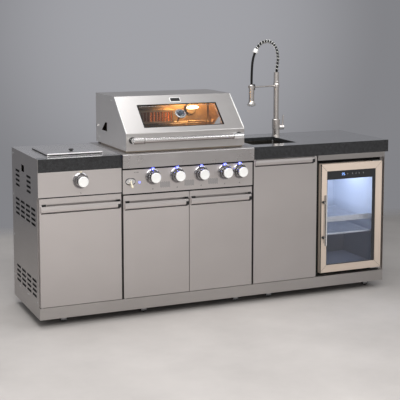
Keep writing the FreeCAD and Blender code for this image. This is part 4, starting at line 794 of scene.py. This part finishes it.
def makeControlMarks():
    # Small plain marks: a dot and two arcs under each knob, and short bars between knobs.
    bm = bmesh.new()
    for number in range(1, controls["knobs"] + 1):
        centre = knobCentre(number)
        place = onPanel(centre.x, centre.z - marks["drop"])
        for arc in marks["arcs"]:
            plate(bm, place, arcBand(*arc), *controls["ink"])
    x = marks["legendX"]
    for bar in marks["legendBars"]:
        outline = roundedOutline(bar / 1000, marks["legendHigh"], 0.0009)
        plate(bm, facingFront(x + bar / 2, 0, marks["legendZ"]), outline, *controls["ink"])
        x += bar + marks["legendGap"]
    outline = roundedOutline(marks["switchWide"], marks["switchHigh"], 0.0185, 8)
    plate(bm, facingFront(*marks["switchPlace"]), outline, 0.0, marks["switchThick"])
    makePiece("panel_marks", bm, [darkPrint], "island")
    bm = bmesh.new()
    for number in (2, 3, 4):
        middleX = (knobCentre(number).x + knobCentre(number + 1).x) / 2
        for k in range(marks["patchBars"]):
            x = middleX + (k - (marks["patchBars"] - 1) / 2) * marks["patchPitch"] / 1000
            place = onPanel(x, (marks["patchZ"] - marks["patchStep"] * (k % 3)) / 1000)
            outline = roundedOutline(marks["patchWide"], marks["patchHigh"][k % 2], 0.0008, 2)
            plate(bm, place, outline, *controls["ink"])
    makePiece("panel_legend_bars", bm, [greyPrint], "island")


def lightControls():
    low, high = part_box("control_bezels")
    half = controls["lampHalf"]
    for number in range(1, controls["knobs"] + 1):
        centre = knobCentre(number)
        lens = blueLamp if number > 1 else creamPlastic
        paint("control_bezels", lens, (centre.x - half, low.y, centre.z + controls["lampLow"]),
              (centre.x + half, high.y, centre.z + controls["lampHigh"]))
        if number > 1:
            place = (centre.x, bench(0, controls["spillOut"], 0).y, centre.z + controls["spillUp"])
            spill = makeLamp("blueSpill" + str(number), "POINT", place, controls["spillPower"],
                             controls["spillColour"], shadow_soft_size=controls["spillSize"])
            spill.visible_camera = False
        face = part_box("knob_" + str(number))[0]
        paint("knob_" + str(number), chrome["face"], face, face + Vector(controls["faceSize"]))
    paint("control_bezels", chrome["bright"], *ends(*controls["switchPlate"]))
    paintSpot("control_bezels", blueLamp, bench(*controls["switchLamp"]), controls["switchLampHalf"])


makeControlMarks()
lightControls()
print("controls dressed")


# Doors: black caps at the ends of the pull rails, and painted shade under and inside the rails

rail = {
    "capWidth": 0.0030, "back": 0.0159, "reach": 0.0151, "cornerLong": 0.0145,
    "corner": [(-0.0004, -0.0008), (-0.0118, 0.0048), (-0.0156, 0.0125), (-0.0157, 0.0245), (-0.0131, 0.0245),
               (-0.0131, 0.0135), (-0.0100, 0.0072), (-0.0004, 0.0020)],
    "shadowLine": ((-0.0006, -0.0040), (0.0002, -0.0002)), "mouthShadeFront": 0.0050, "mouthShadeBack": 0.006,
    "mouthShades": ((0.004, 0.026), (0.016, 0.002)),
}
doors = (
    # node, body, door's top, strip over the pocket, mouth, rail's height, gap at the right
    ("left_door", "door_left", 715.5, 31.0, 10.0, 38.0, 0.006),
    ("grill_door_left", "door_grill_left", 701.0, 31.0, 10.0, 38.0, 0.006),
    ("grill_door_right", "door_grill_right", 701.0, 31.0, 10.0, 38.0, 0.006),
    ("sink_door", "door_sink", 854.5, 1.5, 1.0, 34.0, 0.020),
)
leftGap = 0.006


def dressDoor(name, body, top, strip, mouth, height, rightGap):
    low, mouthTop = (top - strip - mouth - height) / 1000, (top - strip) / 1000
    boxLow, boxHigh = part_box(name)
    # The right-hand end of the rail has a black cap and a black corner piece under it.
    x1 = boxHigh.x - rightGap - rail["capWidth"]
    front = bench(0, 0, 0).y
    paint(name, blackPlastic, (x1, front - rail["reach"], low),
          (x1 + rail["capWidth"], front + rail["back"], mouthTop))
    bm = bmesh.new()
    place = Matrix(((0, 0, 1, x1 - rail["cornerLong"]), (1, 0, 0, front), (0, 1, 0, low), (0, 0, 0, 1)))
    plate(bm, place, rail["corner"], 0.0, rail["cornerLong"])
    # A dark strip under the lip is a painted shadow line, and two black blocks in the mouth of the pocket are
    # painted shade.
    left = boxLow.x + leftGap + rail["capWidth"]
    (shadowFront, shadowLow), (shadowBack, shadowHigh) = rail["shadowLine"]
    brick(bm, (left, front + shadowFront, low + shadowLow), (x1, front + shadowBack, low + shadowHigh))
    if mouth > 2:
        mouthShadeLow = mouthTop - (mouth + 1) / 1000
        (a, b), (c, d) = rail["mouthShades"]
        for start, end in ((left + a, left + b), (x1 - c, x1 - d)):
            brick(bm, (start, front - rail["mouthShadeFront"], mouthShadeLow),
                  (end, front + rail["mouthShadeBack"], mouthTop))
    makePiece(name + "_rail_corner", bm, [blackPlastic], body, 0.0003)


for door in doors:
    dressDoor(*door)
print("doors dressed")


# Painted shade: black pieces in the upright seams between the modules and beside the fridge

gapShade = {
    "foot": 117, "seams": ((475, 4.6, 855), (1280, 4.6, 855), (1721, 12.0, 824)),  # middle, half width, top
    "seamDepth": (20.4, 23.8), "stripDepth": (-0.5, 1.0),
    "strips": (((476.5, 1278.5), (843.6, 851.9)), ((476.5, 1278.5), (701.3, 709.2)),
               ((0.5, 473.5), (716.0, 721.5)), ((471.6, 478.4), (704.0, 857.3)),
               ((1277.0, 1284.5), (704.0, 851.9))),
    "kickStrips": ((8, 467), (483, 1272), (1288, 1733)), "kickDepth": (21.0, 23.9),
    "kickHeight": (113.0, 120.0), "kickJoints": ((472.0, 478.0), (1279.2, 1280.8)),
    "jointDepth": (23.4, 24.2), "jointFoot": 50.2,
    "fridgeBars": ((802.6, 823.6), (115.4, 135.4)), "barDepth": (40.5, 44.6), "barLong": (1722, 2168),
}


def makeGapShade():
    bm = bmesh.new()
    for x, half, top in gapShade["seams"]:
        brick(bm, *ends((x - half, x + half), gapShade["seamDepth"], (gapShade["foot"], top)))
    # Black strips at the panels' lower and upper edges, on the module joints and along the kick plates:
    # painted shade and shadow lines.
    for xs, zs in gapShade["strips"]:
        brick(bm, *ends(xs, gapShade["stripDepth"], zs))
    for xs in gapShade["kickStrips"]:
        brick(bm, *ends(xs, gapShade["kickDepth"], gapShade["kickHeight"]))
    for xs in gapShade["kickJoints"]:
        brick(bm, *ends(xs, gapShade["jointDepth"], (gapShade["jointFoot"], gapShade["foot"])))
    # Dark bars over and under the fridge door, in front of its case: painted shade in the gaps.
    for zs in gapShade["fridgeBars"]:
        brick(bm, *ends(gapShade["barLong"], gapShade["barDepth"], zs))
    makePiece("seam_gap_shade", bm, [blackRubber], "island", 0.0002)


vents = {"long": 80.0, "high": 9.0, "pitch": 27.5, "rows": 4, "rim": 2.6, "proud": 0.0008, "deep": -0.002,
         "groups": [(y, z) for y in (107.0, 225.0, 343.0, 461.0) for z in (207.0, 602.0)]
         + [(y, 768.0) for y in (200.0, 453.0)]}


def slotOutline(grown, corner):
    return roundedOutline((vents["long"] + grown) / 1000, (vents["high"] + grown) / 1000, corner, 4)


def makeVentShade():
    # Painted shade: a dark rim round each vent slot of the left side, reaching into the slot.
    bm = bmesh.new()
    outer, inner = slotOutline(2 * vents["rim"], 0.005), slotOutline(-1, 0.003)
    for y, z in vents["groups"]:
        for row in range(vents["rows"]):
            place = standing(bench(0, y, z + (row - (vents["rows"] - 1) / 2) * vents["pitch"]), (-1, 0, 0))
            bridge(bm, [ringOf(bm, place, outer, 0.0), ringOf(bm, place, outer, vents["proud"]),
                        ringOf(bm, place, inner, vents["proud"]), ringOf(bm, place, inner, vents["deep"])])
    makePiece("vent_shade_rims", bm, [blackPlastic], "island")


makeGapShade()
makeVentShade()


# Fridge: dark border on the glass, header with display, lamp inside, seal

fridge = {
    "glassFace": 4.9, "left": 1779.0, "right": 2124.0, "low": 180.0, "high": 758.0, "header": 705.0,
    "border": 2102.0, "thin": 5.0, "skin": 0.3,
    "display": (1896.0, 4.6, 735.0), "digits": ((-0.0058, (0, 1, 2, 3, 4, 5)), (0.0058, (0, 2, 3, 5, 6))),
    # The middle of each segment, clockwise from the top, then the crossbar.
    "segments": ((0.0, 0.0062), (0.0034, 0.0031), (0.0034, -0.0031), (0.0, -0.0062), (-0.0034, -0.0031),
                 (-0.0034, 0.0031), (0.0, 0.0)),
    "upright": (1, 2, 4, 5), "keys": (29, 64, 88, 111, 142), "mitre": 0.0615, "mitreHalf": 0.0005,
    "posts": (356, 572), "postX": 1753, "pull": ((1746.9, 1759.1), (-44.1, -0.1), (311.9, 620.1)),
    "pullShadow": ((1760.5, 1763.5), (-0.3, 0.1), (320, 612)), "seal": 40, "sideSkin": 0.5,
    "leftEdge": ((1735.2, 1742.0), (-0.4, 0.1), (136.2, 801.8)),
    "filler": ((2175.6, 2183.4), (45.0, 60), (117, 824)), "lamp": ((1790, 2112), (62, 78), (765.5, 769.5)),
    "sleeve": [(0.0062, 0.0), (0.0085, 0.0), (0.0085, 0.016), (0.0062, 0.016)],
    "glowPlace": (1951, 250, 764), "glowPower": 1.3, "glowColour": (0.64, 0.75, 1.0),
    "glowWide": 0.30, "glowDeep": 0.25,
}


def makeFridgeFace():
    face, skin, thin = fridge["glassFace"], fridge["skin"], fridge["thin"]
    left, right, low, high = fridge["left"], fridge["right"], fridge["low"], fridge["high"]
    header, border = fridge["header"], fridge["border"]
    bm = bmesh.new()
    for x0, x1, z0, z1 in ((left, right, header, high), (border, right, low, header),
                           (left, left + thin, low, header), (left + thin, border, low, low + thin)):
        brick(bm, bench(x0, face - skin, z0), bench(x1, face, z1))
    makePiece("fridge_glass_border", bm, [blackGlass], "door_fridge")
    bm = bmesh.new()
    place = facingFront(*fridge["display"])
    for digit, segments in fridge["digits"]:
        for segment in segments:
            x, y = fridge["segments"][segment]
            size = (0.0014, 0.0050) if segment in fridge["upright"] else (0.0054, 0.0014)
            spot = place @ Matrix.Translation((digit + x, y, 0))
            plate(bm, spot, roundedOutline(*size, 0.0005, 2), 0.0, 0.0003)
    makePiece("fridge_display", bm, [displayBlue], "door_fridge")
    bm = bmesh.new()
    for step in fridge["keys"]:
        spot = place @ Matrix.Translation((step / 1000, 0, 0))
        plate(bm, spot, arcBand(0.0012, 0.0026, 0, 350, 16), 0.0, 0.0003)
    makePiece("fridge_header_marks", bm, [greyPlastic], "door_fridge")
    # Dark lines at the mitred corners, and black sleeves on the pull's two posts. A dark strip beside the
    # pull is a painted shadow, and one along the frame's left edge is painted shade.
    bm = bmesh.new()
    half = fridge["mitreHalf"]
    for x, z, turn in ((left, high, 135), (right, high, 45), (left, low, 225), (right, low, 315)):
        line = facingFront(x, 0, z) @ Matrix.Rotation(math.radians(turn), 4, "Z")
        plate(bm, line, rectangle(0.0, fridge["mitre"], -half, half), 0.0, 0.0002)
    for z in fridge["posts"]:
        turnedPart(bm, facingFront(fridge["postX"], -1, z), fridge["sleeve"], 20)
    brick(bm, *ends(*fridge["pullShadow"]))
    brick(bm, *ends(*fridge["leftEdge"]))
    makePiece("fridge_frame_details", bm, [blackPlastic], "door_fridge")
    paint("fridge_door", chrome["bright"], *ends(*fridge["pull"]))
    bm = bmesh.new()
    brick(bm, *ends(*fridge["filler"]))
    makePiece("fridge_side_filler", bm, [steel["front"]], "island", 0.0005)


def makeFridgeLight():
    bm = bmesh.new()
    brick(bm, *ends(*fridge["lamp"]))
    makePiece("fridge_lamp_strip", bm, [fridgeLight], "island", 0.001)
    makeLamp("fridgeGlow", "AREA", bench(*fridge["glowPlace"]), fridge["glowPower"], fridge["glowColour"],
             shape="RECTANGLE", size=fridge["glowWide"], size_y=fridge["glowDeep"])


def paintFridge():
    # The case is zinc outside, apart from its open front. The door has a seal behind, and its left side is
    # painted dark: painted shade in the gap beside it.
    for axis, upper in ((0, False), (0, True), (1, True), (2, False), (2, True)):
        paintSide("fridge_case", zinc, axis, upper, 0)
    low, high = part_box("fridge_door")
    seal, side = bench(0, fridge["seal"], 0).y, bench(0, fridge["sideSkin"], 0).y
    paint("fridge_door", blackRubber, (low.x, seal, low.z), high)
    paint("fridge_door", blackRubber, (low.x, side, low.z), (low.x + 0.0001, high.y, high.z))


makeFridgeFace()
makeFridgeLight()
paintFridge()
print("fridge dressed")


# Tap: hose on its real route, spring, ferrule and collar, toggle on the spray head, nozzle face

tapArm = {"turn": 15.0, "x": 1665.0, "y": 450.0, "columnTop": 1335.0, "hoseRadius": 0.00725,
          "ferrule": (173.6, 133.3), "ferruleHalf": 0.0135, "ferruleRadius": 0.0148,
          # corners of the hose's route, out along the arm and up from the column's top
          "route": [(0, -60), (0, 15), (-16, 90), (5, 165), (62, 200), (140, 188), (185, 127), (208, 50),
                    (208, -71)],
          "stretchFrom": (208, 42), "stretchTo": (208, -60)}


def onArm(out, up, across=0.0):
    turn = math.radians(tapArm["turn"])
    x = tapArm["x"] - math.cos(turn) * out - math.sin(turn) * across
    y = tapArm["y"] - math.sin(turn) * out + math.cos(turn) * across
    return bench(x, y, tapArm["columnTop"] + up)


armAcross = (onArm(0, 0, 1) - onArm(0, 0)).normalized()


def hosePoints():
    curve = bpy.data.curves.new("hose_line", "CURVE")
    curve.dimensions = "3D"
    spline = curve.splines.new("NURBS")
    spline.points.add(len(tapArm["route"]) - 1)
    for point, (out, up) in zip(spline.points, tapArm["route"]):
        point.co = (*onArm(out, up), 1)
    spline.order_u = 3
    spline.use_endpoint_u = True
    spline.resolution_u = 24
    holder = linked("hose_run", curve)
    bpy.context.view_layer.update()
    points = [v.co.copy() for v in bpy.data.meshes.new_from_object(holder).vertices]
    bpy.data.objects.remove(holder)
    return points


hoseLine = hosePoints()
hoseRuns = [0.0]
for a, b in zip(hoseLine, hoseLine[1:]):
    hoseRuns.append(hoseRuns[-1] + (b - a).length)
ferruleAt = min(range(len(hoseLine)), key=lambda k: (hoseLine[k] - onArm(*tapArm["ferrule"])).length)


def alongHose(distance):
    # The point on the hose's middle line at this distance, and the way it runs there.
    k = max(i for i in range(len(hoseRuns) - 1) if hoseRuns[i] <= max(distance, 0.0))
    share = (distance - hoseRuns[k]) / (hoseRuns[k + 1] - hoseRuns[k])
    return hoseLine[k].lerp(hoseLine[k + 1], share), (hoseLine[k + 1] - hoseLine[k]).normalized()


def skinAlong(name, centres, radius, sides, mat):
    # A round skin over a line of points, closed at both ends.
    bm = bmesh.new()
    across = armAcross
    angles = [2 * math.pi * j / sides for j in range(sides)]
    rings = []
    for k, centre in enumerate(centres):
        way = (centres[min(k + 1, len(centres) - 1)] - centres[max(k - 1, 0)]).normalized()
        across = (across - way * across.dot(way)).normalized()
        second = way.cross(across)
        spokes = [across * math.cos(a) + second * math.sin(a) for a in angles]
        rings.append([bm.verts.new(centre + spoke * radius) for spoke in spokes])
    bridge(bm, rings, True)
    bm.faces.new(list(reversed(rings[0])))
    bm.faces.new(rings[-1])
    bmesh.ops.recalc_face_normals(bm, faces=bm.faces)
    return fromMesh(name, bm, [mat])


def makeHose():
    hose = skinAlong("tap_hose_skin", hoseLine, tapArm["hoseRadius"], 20, blackRubber)
    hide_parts("tap_hose")
    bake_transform(hose)


coil = {"start": 0.0630, "radius": 0.0114, "wire": 0.0021, "turns": 16, "steps": 26, "clear": 0.0004}


def makeSpring():
    # An unbroken wire wound round the hose, from the column's top to the ferrule.
    end = hoseRuns[ferruleAt] - tapArm["ferruleHalf"] - coil["wire"] - coil["clear"]
    count = coil["turns"] * coil["steps"]
    line = []
    for k in range(count + 1):
        centre, way = alongHose(coil["start"] + (end - coil["start"]) * k / count)
        inner = way.cross(armAcross).normalized()
        angle = 2 * math.pi * k / coil["steps"]
        line.append(centre + (inner * math.cos(angle) + armAcross * math.sin(angle)) * coil["radius"])
    spring = skinAlong("tap_spring_wire", line, coil["wire"], 10, chrome["spring"])
    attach(spring, "tap_spout")
    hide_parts("tap_spring")


column = {
    "skinFrom": 0.0135, "skinTo": 0.0156, "widen": 0.0016, "oldFerruleFrom": 1.40, "clear": 0.0004,
    "ferruleEdge": 0.0015, "collarLow": 1.2395,
    "collar": [(0.0160, 0), (0.0182, 0), (0.0190, 0.0010), (0.0190, 0.0240), (0.0182, 0.0250),
               (0.0160, 0.0250), (0.0160, 0)],
    "padLow": 1.2320, "padInner": 0.0170, "padOuter": 0.0222, "padHalfTurn": 48, "padHigh": 0.034,
}


def makeColumn():
    # The frame's own column, a little wider, with a longer ferrule set where the spring ends on the arch.
    bm = bmesh.new()
    bm.from_mesh(cad["tap_column"].data)
    oldFerrule = [v for v in bm.verts if v.co.z > column["oldFerruleFrom"]]
    bmesh.ops.delete(bm, geom=oldFerrule, context="VERTS")
    half, wide, bore = tapArm["ferruleHalf"], tapArm["ferruleRadius"], tapArm["hoseRadius"] + column["clear"]
    soft = column["ferruleEdge"]
    turnedPart(bm, standing(hoseLine[ferruleAt], alongHose(hoseRuns[ferruleAt])[1], armAcross),
               [(bore, -half), (wide - soft, -half), (wide, -half + soft), (wide, half - soft),
                (wide - soft, half), (bore, half), (bore, -half)], 40, 1)
    axis = onArm(0, 0)
    for vert in bm.verts:
        away = Vector((vert.co.x - axis.x, vert.co.y - axis.y, 0))
        if column["skinFrom"] < away.length < column["skinTo"] and vert.co.z < axis.z + 0.001:
            vert.co += away.normalized() * column["widen"]
    turnedPart(bm, Matrix.Translation((axis.x, axis.y, column["collarLow"])), column["collar"], 40)
    finishes = [steel["tap"], chrome["face"]]
    piece = makePiece("tap_column_and_ferrule", bm, finishes, "tap_spout")
    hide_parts("tap_column")
    bm = bmesh.new()
    head = middle("spray_head")
    outline = arcBand(column["padInner"], column["padOuter"], tapArm["turn"] - column["padHalfTurn"],
                      tapArm["turn"] + column["padHalfTurn"], 14)
    plate(bm, Matrix.Translation((head.x, head.y, column["padLow"])), outline, 0.0, column["padHigh"])
    makePiece("spray_holder_pad", bm, [blackPlastic], "tap_spout", 0.0005)


spray = {
    "toggleDrop": 0.046, "toggleOut": 0.0160, "nozzleHigh": 0.0175,
    "toggle": (0.010, 0.030, 0.004), "button": (0.007, 0.010, 0.003),  # width, height, corner
    "rim": [(0.0225, -0.0002), (0.0225, 0.0006), (0.020, 0.0012), (0.016, 0.0004)],
    "rings": ((0.0045, 6), (0.009, 10), (0.0185, 20)),
    "jet": [(0.0011, -0.0001), (0.0009, 0.0014), (0, 0.0014)],
}


def makeSprayDetails():
    head = middle("spray_head")
    low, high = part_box("spray_head")
    # The nozzle is polished, the rest of the tap is brushed.
    paint("spray_head", chrome["bright"], low, (high.x, high.y, low.z + spray["nozzleHigh"]))
    side = (onArm(1, 0) - onArm(0, 0)).normalized()
    bm = bmesh.new()
    spot = Vector((head.x, head.y, high.z - spray["toggleDrop"])) - side * spray["toggleOut"]
    top = standing(spot, -side)
    plate(bm, top, roundedOutline(*spray["toggle"]), -0.001, 0.003)
    plate(bm, top @ Matrix.Translation((0, 0.006, 0)), roundedOutline(*spray["button"]), 0.003, 0.0045)
    makePiece("spray_toggle", bm, [blackPlastic], "tap_spray", 0.0008)
    bm = bmesh.new()
    under = standing(Vector((head.x, head.y, low.z)), (0, 0, -1), Vector((1, 0, 0)))
    turnedPart(bm, under, spray["rim"], 40)
    for ring, count in spray["rings"]:
        for k in range(count):
            spot = under @ Matrix.Translation((*polar(ring, 2 * math.pi * k / count), 0))
            turnedPart(bm, spot, spray["jet"], 8)
    makePiece("spray_nozzle_face", bm, [blackRubber], "tap_spray")


makeHose()
makeSpring()
makeColumn()
makeSprayDetails()
print("tap dressed")


# Casters: plastic pedals, grey hubs

caster = {"count": 10, "pedalLong": 0.034, "pedalHigh": 0.036, "hubHalf": 0.0185}
for number in range(1, caster["count"] + 1):
    low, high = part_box("caster_fork_" + str(number))
    paint("caster_fork_" + str(number), blackPlastic, low,
          (low.x + caster["pedalLong"], high.y, low.z + caster["pedalHigh"]))
    wheel = "caster_wheel_" + str(number)
    paintSpot(wheel, greyPlastic, middle(wheel), caster["hubHalf"])


# Screws, and grommets in the service holes

screws = {
    "leftSide": [(555, z) for z in (180, 420, 660, 900)] + [(y, 135) for y in (60, 250, 440)],
    "backHeights": (135, 420, 700, 890), "backInset": 12, "rightHeights": (160, 480, 780), "rightY": 555,
    "hoodSides": ((514, -1), (1241, 1)), "hoodSpots": ((70, 965), (300, 965), (520, 975), (300, 1205)),
}


def crossScrew(bm, place, radius=0.0034):
    turnedPart(bm, place, [(radius, 0.0), (radius, 0.0006), (radius * 0.75, 0.0016), (radius * 0.3, 0.0021),
                           (0, 0.0022)], 14)
    for turn in (20, 110):
        bar = place @ Matrix.Rotation(math.radians(turn), 4, "Z")
        plate(bm, bar, roundedOutline(radius * 1.1, radius * 0.24, radius * 0.08, 2), 0.0018, 0.0024, 1)


def makeScrews():
    bm = bmesh.new()
    for y, z in screws["leftSide"]:
        crossScrew(bm, standing(bench(0, y, z), (-1, 0, 0)))
    for x0, x1 in modules:
        for z in screws["backHeights"]:
            for x in (x0 + screws["backInset"], x1 - screws["backInset"]):
                crossScrew(bm, standing(bench(x, backFace, z), (0, 1, 0)))
    for z in screws["rightHeights"]:
        crossScrew(bm, standing(bench(modules[-1][1], screws["rightY"], z), (1, 0, 0)))
    makePiece("cabinet_screws", bm, [chrome["wire"], blackPlastic], "island")
    bm = bmesh.new()
    for x, way in screws["hoodSides"]:
        for y, z in screws["hoodSpots"]:
            crossScrew(bm, standing(bench(x, y, z), (way, 0, 0)), 0.003)
    makePiece("hood_screws", bm, [chrome["wire"], blackPlastic], "hood")


grommet = {"height": 175, "outer": (0.128, 0.068, 0.006), "inner": (0.114, 0.054, 0.004),
           "crown": (0.98, 0.97), "proud": 0.003, "deep": -0.004}


def makeGrommets():
    bm = bmesh.new()
    outer, inner = roundedOutline(*grommet["outer"]), roundedOutline(*grommet["inner"])
    crown = [(x * grommet["crown"][0], y * grommet["crown"][1]) for x, y in outer]
    for x0, x1 in modules:
        place = standing(bench((x0 + x1) / 2, backFace, grommet["height"]), (0, 1, 0))
        bridge(bm, [ringOf(bm, place, outer, 0.0), ringOf(bm, place, crown, grommet["proud"]),
                    ringOf(bm, place, inner, grommet["proud"]), ringOf(bm, place, inner, grommet["deep"])])
    makePiece("service_grommets", bm, [blackRubber], "island")


lidBand = {"low": 931.0, "high": 937.5, "thick": 0.4, "corner": 2, "x": (80.0, 395.0), "y": (95.0, 425.0),
           "knob": ((222, 253), (159, 191), (944.1, 957))}
bowlCornerHighlight = ((1620.9, 1627.1), (413.9, 420.1), (759, 910.1))  # a painted highlight on the bowl's rounded right rear corner


def dressLid():
    # The lid's knob is black, and a dark band runs round its rim on three sides: a painted shadow under the
    # lid's edge.
    paint("side_burner_lid", blackPlastic, *ends(*lidBand["knob"]))
    (x0, x1), (y0, y1), t, corner = lidBand["x"], lidBand["y"], lidBand["thick"], lidBand["corner"]
    bm = bmesh.new()
    for a, b, c, d in ((x0 + corner, x1 - corner, y0 - t, y0), (x0 - t, x0, y0 + corner, y1 - corner),
                       (x1, x1 + t, y0 + corner, y1 - corner)):
        brick(bm, *ends((a, b), (c, d), (lidBand["low"], lidBand["high"])))
    makePiece("burner_lid_shadow_band", bm, [blackRubber], "burner_lid")


dressLid()
paint("sink_bowl", chrome["bright"], *ends(*bowlCornerHighlight))
makeScrews()
makeGrommets()
print("small parts made")
